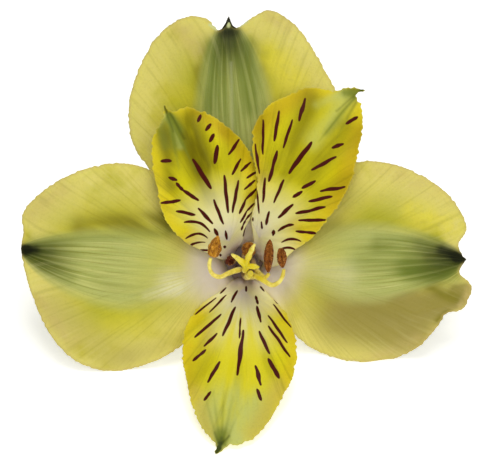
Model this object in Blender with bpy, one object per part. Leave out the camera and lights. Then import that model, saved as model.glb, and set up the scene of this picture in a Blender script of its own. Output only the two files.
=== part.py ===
"""One cut alstroemeria bloom, lying on a flat surface at z = 0 with its face turned up.

The pieces of the bloom are worked out in millimetres in its face frame: x to the right, y towards the
top tepal, z out of the throat, with (0, 0, 0) in the throat's middle. An empty places and tilts them.
"""

import math

import bpy
import numpy as np
from mathutils import Vector
from mathutils.geometry import delaunay_2d_cdt

MM = 0.001

# How the bloom lies: the angle that its face looks up at, and where the middle of its throat is.
FACE_TILT = math.radians(40.0)
THROAT = np.array([-0.38, -16.3, 20.3])

# Tepals: one thickness for all, the mesh's spacing, and the claws that the blades stand on.
TEPAL_THICKNESS = 0.65
POINT_SPACING = 2.5
MARGIN_SPACING = 2.1
CLAW_SPACING = 1.5
OUTER_CLAW = {"radius": (3.5, 4.0, 5.2), "depth": (-17.0, -12.6, -8.6), "half_width": (1.5, 2.0)}
INNER_CLAW = {"radius": (2.7, 3.1, 4.3), "depth": (-17.0, -12.2, -6.9), "half_width": (1.1, 1.4)}
CLAW_TURN = (0.0, 0.35, 0.75)
BEND_POWER = 5
CUP_POWER = 1.8
CREASE_DEPTH = 0.3
CREASE_WIDTH = 1.3
RUFFLE_REACH = 7.0
BLADE_CENTRE = 0.55

# Pistil, stamens, ovary and stalk.
OVARY_TOP = -17.45
OVARY_LENGTH = 7.6
OVARY_RADII = (3.8, 3.95, 3.85, 3.5, 2.95, 2.25, 1.75)
OVARY_RIBS = 6
OVARY_RIB = 0.09
STALK_RADIUS = 1.4
STALK_SHOULDER = 0.12
STALK_CUT_RADIUS = 1.6
STALK_RIB = 0.03
STALK_RUN = 34.0
STALK_BOW = 4.5
FILAMENT_RING = 1.55
FILAMENT_RADII = (0.42, 0.46, 0.5, 0.44, 0.26)
STYLE_RADII = (0.5, 0.5, 0.52, 0.62)
STIGMA_RADII = (0.52, 0.48, 0.4, 0.24)
ORGAN_BASE = -16.9
JOIN_GAP = 0.35

# angle is the way that the midrib leaves foot, and profile its (distance from foot, depth).
# outline is the blade's edge from the front, anticlockwise from claw to claw, and tip counts its tip.
# cup is the edge's depth over the midrib's, on the clockwise and the anticlockwise side.
# ruffle is (height, waves round the edge, phase).
TEPALS = {
    "tepal_outer_top": {
        "claw": OUTER_CLAW, "base_angle": 90, "foot": (0.9, 0.0), "angle": 95.2, "tip_bend": 0.0,
        "profile": [(7.0, -6.4), (12.5, -3.5), (20.0, -1.9), (30.0, -1.5), (38.0, -2.8), (46.0, -6.5)],
        "outline": [(3.6, 8.2), (9.0, 13.0), (15.0, 18.5), (17.8, 25.5), (16.4, 31.0), (14.3, 35.0),
                    (11.5, 39.8), (8.4, 43.5), (4.4, 45.5), (1.0, 43.9), (-1.4, 42.3), (-2.8, 44.2),
                    (-4.4, 41.9), (-6.8, 44.0), (-10.4, 44.3), (-14.5, 41.9), (-18.6, 35.5),
                    (-20.7, 27.6), (-20.0, 21.8), (-17.3, 17.4), (-9.5, 11.2), (-3.4, 7.6)], "tip": 11,
        "cup": (-3.0, -4.6), "ruffle": (0.6, 7, 0.4),
    },
    "tepal_outer_left": {
        "claw": OUTER_CLAW, "base_angle": 210, "foot": (0.0, -1.2), "angle": 175.0, "tip_bend": -0.4,
        "profile": [(7.5, -6.6), (13.0, -3.8), (20.0, -2.3), (28.0, -2.1), (35.0, -3.4), (42.0, -6.4)],
        "outline": [(-6.6, 2.6), (-9.4, 7.6), (-13.2, 13.4), (-17.5, 17.1), (-23.5, 18.0), (-30.5, 16.2),
                    (-36.2, 12.9), (-39.7, 8.8), (-39.6, 5.2), (-40.0, 2.6), (-39.2, -1.5),
                    (-37.5, -7.0), (-34.7, -12.8), (-30.4, -17.3), (-24.4, -19.3), (-18.0, -18.2),
                    (-12.0, -15.2), (-8.0, -11.0), (-5.4, -6.4)], "tip": 9,
        "cup": (-0.7, -7.0), "ruffle": (0.55, 6, 1.2),
    },
    "tepal_outer_right": {
        "claw": OUTER_CLAW, "base_angle": -30, "foot": (0.0, -1.2), "angle": 2.5, "tip_bend": 0.0,
        "profile": [(7.5, -6.6), (13.0, -3.8), (20.0, -2.3), (28.0, -2.1), (35.0, -3.2), (42.0, -6.0)],
        "outline": [(5.4, -6.4), (8.0, -11.2), (12.0, -15.0), (18.6, -17.4), (26.0, -17.3), (31.2, -15.0),
                    (34.6, -11.4), (36.4, -8.8), (39.0, -8.2), (40.7, -3.8), (38.6, -1.4), (39.8, 0.7),
                    (38.4, 3.1), (39.9, 6.2), (37.9, 10.8), (32.4, 15.5), (26.0, 18.0), (19.8, 18.1),
                    (14.6, 14.4), (10.0, 8.4), (6.8, 2.8)], "tip": 11,
        "cup": (-8.6, -1.6), "ruffle": (0.7, 8, 2.3),
    },
    "tepal_inner_left": {
        "claw": INNER_CLAW, "base_angle": 150, "foot": (-0.6, 0.0), "angle": 116.0, "tip_bend": 0.0,
        "profile": [(6.6, -3.4), (10.0, -1.1), (16.0, 1.3), (23.0, 2.8), (28.0, 3.2), (34.0, 4.8)],
        "outline": [(0.5, 6.6), (2.3, 12.0), (2.1, 17.0), (0.2, 21.2), (-3.0, 24.5), (-7.0, 27.0),
                    (-10.6, 27.9), (-12.6, 27.2), (-14.2, 28.2), (-14.8, 25.4), (-16.2, 22.6),
                    (-16.3, 18.0), (-15.3, 12.5), (-14.0, 7.9), (-11.0, 4.3), (-6.2, 2.2)], "tip": 8,
        "cup": (-1.4, 0.6), "ruffle": (0.35, 6, 0.0),
    },
    "tepal_inner_right": {
        "claw": INNER_CLAW, "base_angle": 30, "foot": (-1.2, 1.0), "angle": 56.0, "tip_bend": -1.2,
        "profile": [(7.4, -3.4), (11.0, -1.1), (17.0, 1.3), (24.0, 3.0), (30.0, 3.6), (38.0, 4.6)],
        "outline": [(6.0, 1.9), (10.6, 3.4), (14.8, 7.8), (18.6, 13.6), (20.3, 19.8), (21.5, 25.6),
                    (20.8, 29.2), (21.8, 31.2), (17.2, 31.3), (12.6, 31.1), (8.4, 30.4), (4.4, 28.2),
                    (1.8, 24.4), (1.6, 19.6), (2.5, 14.0), (2.2, 8.4)], "tip": 7,
        "cup": (0.2, 0.7), "ruffle": (0.4, 7, 1.5),
    },
    "tepal_inner_lower": {
        "claw": INNER_CLAW, "base_angle": 270, "foot": (0.0, 0.0), "angle": 267.5, "tip_bend": -2.6,
        "profile": [(6.4, -4.4), (10.0, -1.8), (16.0, 1.2), (23.0, 4.4), (30.0, 7.4), (36.0, 9.4)],
        "outline": [(-3.4, -4.2), (-8.2, -7.8), (-10.5, -11.6), (-11.0, -16.0), (-10.1, -21.5),
                    (-8.7, -26.8), (-5.9, -30.9), (-4.7, -33.9), (-2.8, -32.1), (0.6, -31.8),
                    (4.0, -28.4), (6.8, -23.8), (9.1, -18.6), (9.3, -14.2), (8.0, -9.8), (3.4, -4.4)],
        "tip": 7,
        "cup": (-1.5, -1.5), "ruffle": (0.35, 7, 0.8),
    },
}

# Stamens: the filament's place round the style, its path, and its anther's (direction, length, width,
# thickness), or None where the anther has been shed.
STAMENS = {
    1: {"angle": 210, "path": [(-1.6, -1.2, -10.0), (-1.9, -1.5, -4.0), (-1.6, -1.0, 1.5), (-2.1, -1.2, 3.8),
                               (-3.0, -1.7, 5.2), (-4.3, -2.25, 6.4), (-5.4, -1.9, 7.2), (-6.05, -0.9, 7.9),
                               (-6.15, 0.15, 8.3), (-5.9, 1.1, 8.6)],
        "anther": ((0.33, 0.93, 0.1), 3.9, 2.3, 1.5)},
    2: {"angle": 150, "path": [(-1.6, 0.7, -10.0), (-1.9, 0.4, -6.5), (-2.0, 0.4, -3.4)],
        "anther": ((-0.25, 0.15, 0.95), 3.2, 1.9, 1.3)},
    3: {"angle": 90, "path": [(0.0, 1.4, -10.0), (0.2, 1.0, -5.0), (0.5, 1.0, -1.0), (0.7, 1.3, 0.6)],
        "anther": ((0.1, 0.62, 0.78), 3.6, 2.5, 1.5)},
    4: {"angle": 30, "path": [(1.6, 0.4, -10.0), (2.0, -0.5, -4.0), (2.4, -0.9, 0.5), (3.1, -1.5, 3.0),
                              (3.9, -2.1, 4.5), (4.4, -1.75, 5.1)],
        "anther": ((0.02, 0.99, 0.12), 5.9, 1.7, 1.4)},
    5: {"angle": 330, "path": [(1.4, -1.3, -10.0), (1.6, -2.2, -4.0), (1.75, -2.1, 1.0), (2.4, -2.3, 4.0),
                               (3.5, -2.9, 5.8), (5.1, -3.7, 7.0), (6.4, -2.95, 7.8), (6.95, -1.7, 8.2),
                               (7.05, -0.9, 8.4)],
        "anther": ((-0.18, 0.97, 0.1), 3.5, 2.1, 1.4)},
    6: {"angle": 270, "path": [(0.0, -2.0, -10.0), (0.1, -2.8, -4.0), (0.4, -2.65, 1.0), (0.85, -2.2, 4.0),
                               (1.1, -1.95, 6.4)],
        "anther": None},
}
STYLE_PATH = [(0.0, 0.0, ORGAN_BASE), (0.1, -0.5, -9.0), (0.1, -0.9, -4.0), (0.2, -1.1, 2.0), (0.4, -0.35, 7.8)]
STIGMA_PATHS = [
    [(0.4, -0.4, 7.4), (-0.25, 0.3, 8.4), (-1.25, 1.15, 9.1), (-2.2, 1.75, 9.8)],
    [(0.4, -0.4, 7.4), (0.5, 0.5, 8.4), (1.1, 2.0, 9.2), (1.9, 3.6, 9.7)],
    [(0.4, -0.4, 7.4), (1.0, -0.35, 8.2), (1.8, -0.4, 8.8), (2.6, -0.5, 9.4)],
]

# Each material's colour and roughness.
COLOURS = {
    "outer_tepal": ((0.62, 0.60, 0.10), 0.5),
    "inner_tepal": ((0.72, 0.63, 0.03), 0.45),
    "filament": ((0.78, 0.68, 0.16), 0.4),
    "anther": ((0.38, 0.15, 0.03), 0.7),
    "style": ((0.78, 0.68, 0.10), 0.4),
    "stalk": ((0.18, 0.30, 0.06), 0.45),
}


def row_height(points):
    """How far over the surface points of the face frame are, in mm."""
    return THROAT[2] + points[:, 1] * math.cos(FACE_TILT) + points[:, 2] * math.sin(FACE_TILT)


def press_on_surface(points):
    """The face-frame points, with those that would reach below the surface lifted onto it."""
    lift = np.maximum(-row_height(points), 0.0)
    return points + lift[:, None] * np.array([0.0, math.cos(FACE_TILT), math.sin(FACE_TILT)])


def smooth_curve(points, count):
    """count points evenly along a smooth curve through the given ones, and the given ones' own distances."""
    points = np.asarray(points, float)
    steps = np.linalg.norm(np.diff(points, axis=0), axis=1)
    knots = np.concatenate([[0.0], np.cumsum(steps)])
    slopes = np.diff(points, axis=0) / steps[:, None]
    inner = (slopes[:-1] * steps[1:, None] + slopes[1:] * steps[:-1, None]) / (steps[:-1] + steps[1:])[:, None]
    tangents = np.concatenate([[1.5 * slopes[0] - 0.5 * inner[0]], inner, [1.5 * slopes[-1] - 0.5 * inner[-1]]])
    fine = np.linspace(0.0, knots[-1], 40 * len(points))
    span = np.clip(np.searchsorted(knots, fine, side="right") - 1, 0, len(steps) - 1)
    t = ((fine - knots[span]) / steps[span])[:, None]
    h = steps[span][:, None]
    curve = ((2 * t**3 - 3 * t**2 + 1) * points[span] + (t**3 - 2 * t**2 + t) * h * tangents[span]
             + (3 * t**2 - 2 * t**3) * points[span + 1] + (t**3 - t**2) * h * tangents[span + 1])
    run = np.concatenate([[0.0], np.cumsum(np.linalg.norm(np.diff(curve, axis=0), axis=1))])
    wanted = np.linspace(0.0, run[-1], count)
    even = np.stack([np.interp(wanted, run, curve[:, i]) for i in range(points.shape[1])], axis=1)
    return even, np.interp(knots, fine, run)


def ease(value):
    """0 below 0, 1 above 1, and a smooth step between."""
    value = np.clip(value, 0.0, 1.0)
    return value * value * (3.0 - 2.0 * value)


class Tepal:
    """One tepal as a bent sheet. along is the distance up the midrib from the base, across is to its side."""

    def __init__(self, spec):
        self.spec = spec
        claw = spec["claw"]
        blade_angle = math.radians(spec["angle"])
        base_angle = math.radians(spec["base_angle"])
        heading = np.array([math.cos(blade_angle), math.sin(blade_angle)])
        sideways = np.array([-heading[1], heading[0]])
        reach = spec["profile"][-1][0]
        stations = []
        turns = []
        for radius, depth, turn in zip(claw["radius"], claw["depth"], CLAW_TURN):
            angle = base_angle + turn * (blade_angle - base_angle)
            stations.append((radius * math.cos(angle), radius * math.sin(angle), depth))
            turns.append(angle)
        for distance, depth in spec["profile"]:
            bend = spec["tip_bend"] * (distance / reach) ** BEND_POWER
            x, y = np.array(spec["foot"]) + distance * heading + bend * sideways
            stations.append((x, y, depth))
            turns.append(blade_angle)
        self.midrib, marks = smooth_curve(stations, 400)
        self.run = np.linspace(0.0, marks[-1], 400)
        self.turn = np.interp(self.run, marks, turns)
        self.claw_marks = marks[:3]
        self.blade_start = marks[3]
        distance = (self.midrib[:, :2] - spec["foot"]) @ heading
        blade = self.run >= self.claw_marks[2]
        edge = []
        for x, y in spec["outline"]:
            offset = np.array([x, y]) - spec["foot"]
            along = np.interp(offset @ heading, distance[blade], self.run[blade])
            bend = spec["tip_bend"] * (offset @ heading / reach) ** BEND_POWER
            edge.append((along, offset @ sideways - bend))
        sides = list(zip(self.claw_marks, claw["half_width"]))
        start = [(along, -width) for along, width in sides]
        end = [(along, width) for along, width in reversed(sides)]
        self.edge_points = start + edge + end
        self.tip = len(start) + spec["tip"]
        self.half_widths = (max(-q for _, q in edge), max(q for _, q in edge))
        self.centre = BLADE_CENTRE * marks[-1]

    def edge(self, spacing):
        """Points round the edge, about this far apart, from base corner to base corner by way of the tip."""
        halves = []
        for places in (self.edge_points[:self.tip + 1], self.edge_points[self.tip:]):
            length = smooth_curve(places, 2)[1][-1]
            halves.append(smooth_curve(places, max(8, round(length / spacing)))[0])
        return np.concatenate([halves[0], halves[1][1:]])

    def points(self, flat, margin):
        """Face-frame points of flat (along, across) places. margin is a fine line round the edge."""
        along, across = flat[:, 0], flat[:, 1]
        centre = np.stack([np.interp(along, self.run, self.midrib[:, i]) for i in range(3)], axis=1)
        turn = np.interp(along, self.run, self.turn)
        side = np.stack([-np.sin(turn), np.cos(turn), 0 * turn], axis=1)
        inward = np.stack([-np.cos(turn), -np.sin(turn), 0 * turn], axis=1)
        opened = ease((along - self.claw_marks[1]) / (self.blade_start - self.claw_marks[1]))
        lift = (1 - opened)[:, None] * inward + opened[:, None] * np.array([0.0, 0.0, 1.0])
        gutter = across**2 / (2 * self.spec["claw"]["radius"][1]) * (1 - opened)
        clockwise, anticlockwise = self.spec["cup"]
        cup = np.where(across < 0, clockwise, anticlockwise)
        width = np.where(across < 0, *self.half_widths)
        bowl = cup * (np.abs(across) / width) ** CUP_POWER * opened
        crease = -CREASE_DEPTH * np.exp(-((across / CREASE_WIDTH) ** 2)) * opened
        height, waves, phase = self.spec["ruffle"]
        gaps = np.linalg.norm(flat[:, None, :] - margin[None, :, :], axis=2).min(axis=1)
        round_centre = np.arctan2(across, along - self.centre)
        ruffle = height * ease(1 - gaps / RUFFLE_REACH) * np.sin(waves * round_centre + phase) * opened
        return centre + across[:, None] * side + (gutter + bowl + crease + ruffle)[:, None] * lift


def inside(flat, outline, keep_off):
    """Which of the flat points lie inside the outline, and at least keep_off from it."""
    x, y = flat[:, 0][:, None], flat[:, 1][:, None]
    x0, y0 = outline[:, 0], outline[:, 1]
    x1, y1 = np.roll(x0, -1), np.roll(y0, -1)
    crosses = ((y0 > y) != (y1 > y)) & (x < (x1 - x0) * (y - y0) / np.where(y1 == y0, 1e-9, y1 - y0) + x0)
    near = np.linalg.norm(flat[:, None, :] - outline[None, :, :], axis=2).min(axis=1)
    return (crosses.sum(axis=1) % 2 == 1) & (near > keep_off)


def flat_mesh(tepal):
    """The tepal laid flat: its points (along, across) and its triangles, anticlockwise."""
    edge = tepal.edge(MARGIN_SPACING)
    low, high = edge.min(axis=0), edge.max(axis=0)
    row_step = POINT_SPACING * math.sqrt(3) / 2
    grid = []
    for row, along in enumerate(np.arange(tepal.claw_marks[2] + 1.0, high[0], row_step)):
        shift = 0.5 * POINT_SPACING * (row % 2)
        reach = math.ceil(high[1] / POINT_SPACING) + 1
        back = math.ceil(-low[1] / POINT_SPACING) + 1
        grid += [(along, shift + POINT_SPACING * i) for i in range(-back, reach)]
    grid = np.array(grid)
    grid = grid[inside(grid, tepal.edge(0.5), 0.62 * POINT_SPACING)]
    claw_rows = np.arange(CLAW_SPACING, tepal.claw_marks[2] + 0.4, CLAW_SPACING)
    claw = [(along, 0.0) for along in claw_rows]
    places = [Vector(p) for p in np.concatenate([edge, claw, grid])]
    found = delaunay_2d_cdt(places, [], [list(range(len(edge)))], 1, 1e-6)
    return np.array([tuple(v) for v in found[0]]), [tuple(f) for f in found[2]]


def new_object(name, points, faces, material, parent=None):
    """An object from points in mm, parented to the face's empty where they are in the face frame."""
    mesh = bpy.data.meshes.new(name)
    mesh.from_pydata((np.asarray(points) * MM).tolist(), [], faces)
    mesh.update()
    mesh.shade_smooth()
    mesh.set_sharp_from_angle(angle=math.radians(40))
    mesh.materials.append(material)
    obj = bpy.data.objects.new(name, mesh)
    obj.parent = parent
    bpy.context.scene.collection.objects.link(obj)
    return obj


def make_tepal(name, spec, material, face):
    """A tepal of even thickness, whose two faces are split into the same triangles."""
    tepal = Tepal(spec)
    flat, triangles = flat_mesh(tepal)
    margin = tepal.edge(0.5)
    middle = tepal.points(flat, margin)
    step = 0.05
    along_step = tepal.points(flat + (step, 0), margin) - tepal.points(flat - (step, 0), margin)
    across_step = tepal.points(flat + (0, step), margin) - tepal.points(flat - (0, step), margin)
    normal = np.cross(along_step, across_step)
    normal /= np.linalg.norm(normal, axis=1)[:, None]
    half = 0.5 * TEPAL_THICKNESS * normal
    points = np.concatenate([middle + half, middle - half])
    count = len(flat)
    used = {}
    for a, b, c in triangles:
        for start, end in ((a, b), (b, c), (c, a)):
            used[(start, end)] = True
    rim = [(start, end) for start, end in used if (end, start) not in used]
    faces = [tuple(t) for t in triangles]
    faces += [(c + count, b + count, a + count) for a, b, c in triangles]
    for start, end in rim:
        faces.append((end, start, start + count))
        faces.append((end, start + count, end + count))
    return new_object(name, press_on_surface(points), faces, material, face)


def frames_along(path, first_side):
    """The direction of the path at each point, and two axes square to it that don't twist."""
    ahead = np.gradient(path, axis=0)
    ahead /= np.linalg.norm(ahead, axis=1)[:, None]
    side = np.array(first_side, float)
    sides = []
    for direction in ahead:
        side = side - (side @ direction) * direction
        side /= np.linalg.norm(side)
        sides.append(side)
    sides = np.array(sides)
    return ahead, sides, np.cross(ahead, sides)


def tube(path, radii, sides, first_side, section=None):
    """Points and faces of a closed tube. radii are (across, deep) at each point of the path."""
    angles = 2 * math.pi * np.arange(sides) / sides
    _, side, up = frames_along(path, first_side)
    shape = section(angles) if section else np.stack([np.cos(angles), np.sin(angles)], axis=1)
    rings = []
    for centre, (across, deep), x_axis, y_axis in zip(path, radii, side, up):
        local = shape if shape.ndim == 2 else shape[len(rings)]
        rings.append(centre + across * local[:, :1] * x_axis + deep * local[:, 1:] * y_axis)
    points = np.concatenate(rings + [path[:1], path[-1:]])
    last_ring = sides * (len(path) - 1)
    start_hub, end_hub = sides * len(path), sides * len(path) + 1
    faces = []
    for i in range(sides):
        j = (i + 1) % sides
        faces.append((start_hub, j, i))
        faces.append((end_hub, last_ring + i, last_ring + j))
        for low in range(0, last_ring, sides):
            faces.append((low + i, low + j, low + sides + j, low + sides + i))
    return points, faces


def round_radii(radii, count):
    """The same radius both ways at each of count points, read smoothly from a few."""
    values = np.interp(np.linspace(0, len(radii) - 1, count), range(len(radii)), radii)
    return [(r, r) for r in values]


def make_filament(number, spec, material, face):
    """One filament, from its foot on the ovary to just under its anther."""
    angle = math.radians(spec["angle"])
    foot = (FILAMENT_RING * math.cos(angle), FILAMENT_RING * math.sin(angle), ORGAN_BASE)
    count = 6 + 2 * len(spec["path"])
    path, _ = smooth_curve([foot] + spec["path"], count)
    radii = round_radii(FILAMENT_RADII if spec["anther"] else FILAMENT_RADII[:3], count)
    points, faces = tube(path, radii, 8, (1, 0, 0))
    return new_object(f"filament_{number}", points, faces, material, face)


def make_anther(number, spec, material, face):
    """One anther of two lobes, set end-on to its filament."""
    direction, length, width, thickness = spec["anther"]
    direction = np.array(direction) / np.linalg.norm(direction)
    share = np.linspace(0.0, 1.0, 9)
    foot = np.array(spec["path"][-1]) + JOIN_GAP * direction
    path = foot + share[:, None] * length * direction
    swell = 0.12 + 0.88 * np.sin(math.pi * (0.06 + 0.88 * share)) ** 0.55
    radii = [(0.5 * width * s, 0.5 * thickness * s) for s in swell]
    broad = np.cross(direction, (0, 0, 1))

    def two_lobes(angles):
        return np.stack([np.cos(angles), np.sin(angles) * (1 + 0.35 * np.cos(2 * angles))], axis=1)

    points, faces = tube(path, radii, 12, broad, two_lobes)
    return new_object(f"anther_{number}", points, faces, material, face)


def fuse(name, pieces, material):
    """One closed body from pieces that run into each other."""
    pile = bpy.data.collections.new(name + "_pile")
    bpy.context.scene.collection.children.link(pile)
    base = pieces[0]
    for piece in pieces[1:]:
        bpy.context.scene.collection.objects.unlink(piece)
        pile.objects.link(piece)
    union = base.modifiers.new("union", "BOOLEAN")
    union.operation = "UNION"
    union.operand_type = "COLLECTION"
    union.collection = pile
    union.solver = "EXACT"
    graph = bpy.context.evaluated_depsgraph_get()
    joined = bpy.data.meshes.new_from_object(base.evaluated_get(graph))
    base.modifiers.remove(union)
    base.data = joined
    base.name = name
    joined.materials.clear()
    joined.materials.append(material)
    for piece in list(pile.objects):
        bpy.data.objects.remove(piece)
    bpy.data.collections.remove(pile)
    return base


def make_style(material, face):
    """The style and its three stigma branches, as one body."""
    pieces = []
    path, _ = smooth_curve(STYLE_PATH, 14)
    pieces.append(tube(path, round_radii(STYLE_RADII, 14), 10, (1, 0, 0)))
    for branch in STIGMA_PATHS:
        path, _ = smooth_curve(branch, 7)
        pieces.append(tube(path, round_radii(STIGMA_RADII, 7), 8, (0.3, -0.2, 0.9)))
    objects = [new_object(f"style_{i}", p, f, material, face) for i, (p, f) in enumerate(pieces)]
    return fuse("style", objects, material)


def make_stalk(material):
    """The ribbed ovary and the stalk below it: one body, which bends down to lie along the surface."""
    outward = np.array([0.0, -math.cos(FACE_TILT), math.sin(FACE_TILT)])
    top = THROAT + OVARY_TOP * outward
    base = top - OVARY_LENGTH * outward
    bend_radius = (base[2] - STALK_RADIUS) / (1 - math.cos(FACE_TILT))
    ovary_shares = np.linspace(0, 1, 9)
    bend_shares = np.linspace(0, 1, 7)[1:]
    run_shares = np.linspace(0, 1, 12)[1:]
    path = [top + share * (base - top) for share in ovary_shares]
    for share in bend_shares:
        angle = FACE_TILT * (1 - share)
        back = bend_radius * (math.sin(FACE_TILT) - math.sin(angle))
        fall = bend_radius * (math.cos(angle) - math.cos(FACE_TILT))
        path.append(base + np.array([0, back, -fall]))
    rest = path[-1]
    widening = STALK_CUT_RADIUS - STALK_RADIUS
    for share in run_shares:
        path.append(rest + np.array([STALK_BOW * share**2, STALK_RUN * share, widening * share**3]))
    swell = np.interp(ovary_shares * (len(OVARY_RADII) - 1), range(len(OVARY_RADII)), OVARY_RADII)
    slim = STALK_RADIUS + STALK_SHOULDER * (1 - bend_shares)
    run = STALK_RADIUS + widening * run_shares**3
    radii = np.concatenate([swell, slim, run])
    ribs = np.where(np.arange(len(radii)) < len(swell), OVARY_RIB, STALK_RIB)

    def ribbed(angles):
        circle = np.stack([np.cos(angles), np.sin(angles)], axis=1)
        return np.array([circle * (1 + rib * np.cos(OVARY_RIBS * angles))[:, None] for rib in ribs])

    points, faces = tube(np.array(path), [(r, r) for r in radii], 24, (1, 0, 0), ribbed)
    return new_object("stalk_and_ovary", points, faces, material)


def make_material(name):
    """A plain Principled material in one of the bloom's colours."""
    colour, roughness = COLOURS[name]
    material = bpy.data.materials.new(name)
    material.use_nodes = True
    shader = material.node_tree.nodes["Principled BSDF"]
    shader.inputs["Base Color"].default_value = (*colour, 1.0)
    shader.inputs["Roughness"].default_value = roughness
    shader.inputs["Metallic"].default_value = 0.0
    return material


def main():
    for obj in list(bpy.data.objects):
        bpy.data.objects.remove(obj)
    face = bpy.data.objects.new("face", None)
    face.location = THROAT * MM
    face.rotation_euler.x = math.pi / 2 - FACE_TILT
    bpy.context.scene.collection.objects.link(face)
    materials = {name: make_material(name) for name in COLOURS}
    make_stalk(materials["stalk"])
    for name, spec in TEPALS.items():
        kind = "outer_tepal" if "outer" in name else "inner_tepal"
        make_tepal(name, spec, materials[kind], face)
    for number, spec in STAMENS.items():
        make_filament(number, spec, materials["filament"], face)
        if spec["anther"]:
            make_anther(number, spec, materials["anther"], face)
    make_style(materials["style"], face)


main()
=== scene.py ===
import math

import bpy
import numpy as np
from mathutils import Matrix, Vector, noise
from mathutils.geometry import delaunay_2d_cdt


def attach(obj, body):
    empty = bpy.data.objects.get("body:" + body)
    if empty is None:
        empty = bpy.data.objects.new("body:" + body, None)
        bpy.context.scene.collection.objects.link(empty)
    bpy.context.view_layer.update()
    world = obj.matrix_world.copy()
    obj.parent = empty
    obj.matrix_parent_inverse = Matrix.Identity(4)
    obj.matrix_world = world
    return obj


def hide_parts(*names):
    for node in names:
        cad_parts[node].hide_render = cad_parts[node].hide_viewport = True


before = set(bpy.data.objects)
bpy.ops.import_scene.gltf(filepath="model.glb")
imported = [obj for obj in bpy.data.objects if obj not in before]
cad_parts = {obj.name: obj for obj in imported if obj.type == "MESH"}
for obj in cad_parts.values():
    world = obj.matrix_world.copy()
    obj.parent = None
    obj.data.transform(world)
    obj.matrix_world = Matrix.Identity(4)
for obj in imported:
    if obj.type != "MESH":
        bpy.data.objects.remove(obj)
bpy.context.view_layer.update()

mm = 0.001

# How the bloom lies: its face looks up at faceTilt degrees, and throat is the middle of its throat, in mm.
# Every piece is worked out in the face's own mm: x right, y up the top tepal, z out of the throat.
bloom = {"faceTilt": 40.0, "throat": (-0.38, -16.3, 20.3)}


def faceToRow(points):
    # face millimetres to the row's metres
    tilt = math.radians(bloom["faceTilt"])
    x, y, z = np.asarray(points, float).T
    back = y * math.sin(tilt) - z * math.cos(tilt)
    up = y * math.cos(tilt) + z * math.sin(tilt)
    return (np.stack([x, back, up], axis=1) + bloom["throat"]) * mm


def ease(value):
    value = np.clip(value, 0.0, 1.0)
    return value * value * (3.0 - 2.0 * value)


def ripple(u, v, seed):
    # smooth noise, about -1 to 1, at a list of places
    return np.array([noise.noise(Vector((a, b, seed))) for a, b in zip(u, v)]) * 1.6


def smoothCurve(points, count):
    # count even points along a smooth curve through the given ones, and where the given ones fall on it
    finePerPoint = 40
    points = np.asarray(points, float)
    steps = np.linalg.norm(np.diff(points, axis=0), axis=1)
    knots = np.concatenate([[0.0], np.cumsum(steps)])
    slopes = np.diff(points, axis=0) / steps[:, None]
    before, after = steps[:-1, None], steps[1:, None]
    inner = (slopes[:-1] * after + slopes[1:] * before) / (before + after)
    first = 1.5 * slopes[0] - 0.5 * inner[0]
    last = 1.5 * slopes[-1] - 0.5 * inner[-1]
    tangents = np.concatenate([[first], inner, [last]])
    fine = np.linspace(0.0, knots[-1], finePerPoint * len(points))
    span = np.clip(np.searchsorted(knots, fine, side="right") - 1, 0, len(steps) - 1)
    t = ((fine - knots[span]) / steps[span])[:, None]
    h = steps[span][:, None]
    leave = (2 * t**3 - 3 * t**2 + 1) * points[span] + (t**3 - 2 * t**2 + t) * h * tangents[span]
    reach = (3 * t**2 - 2 * t**3) * points[span + 1] + (t**3 - t**2) * h * tangents[span + 1]
    curve = leave + reach
    run = np.concatenate([[0.0], np.cumsum(np.linalg.norm(np.diff(curve, axis=0), axis=1))])
    wanted = np.linspace(0.0, run[-1], count)
    even = np.stack([np.interp(wanted, run, curve[:, i]) for i in range(points.shape[1])], axis=1)
    return even, np.interp(knots, fine, run)


def hexColour(code):
    # an sRGB hex value as linear RGBA
    parts = [int(code[i:i + 2], 16) / 255 for i in (1, 3, 5)]
    return tuple(p / 12.92 if p <= 0.04045 else ((p + 0.055) / 1.055) ** 2.4 for p in parts) + (1.0,)


def addNode(tree, kind, inputs=None, output=None, **settings):
    # one node with its settings and links; gives the node, or the output that is asked for
    node = tree.nodes.new(kind)
    for name, value in settings.items():
        setattr(node, name, value)
    for name, value in (inputs or {}).items():
        if isinstance(value, bpy.types.NodeSocket):
            tree.links.new(value, node.inputs[name])
        else:
            node.inputs[name].default_value = value
    return node if output is None else node.outputs[output]


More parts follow.
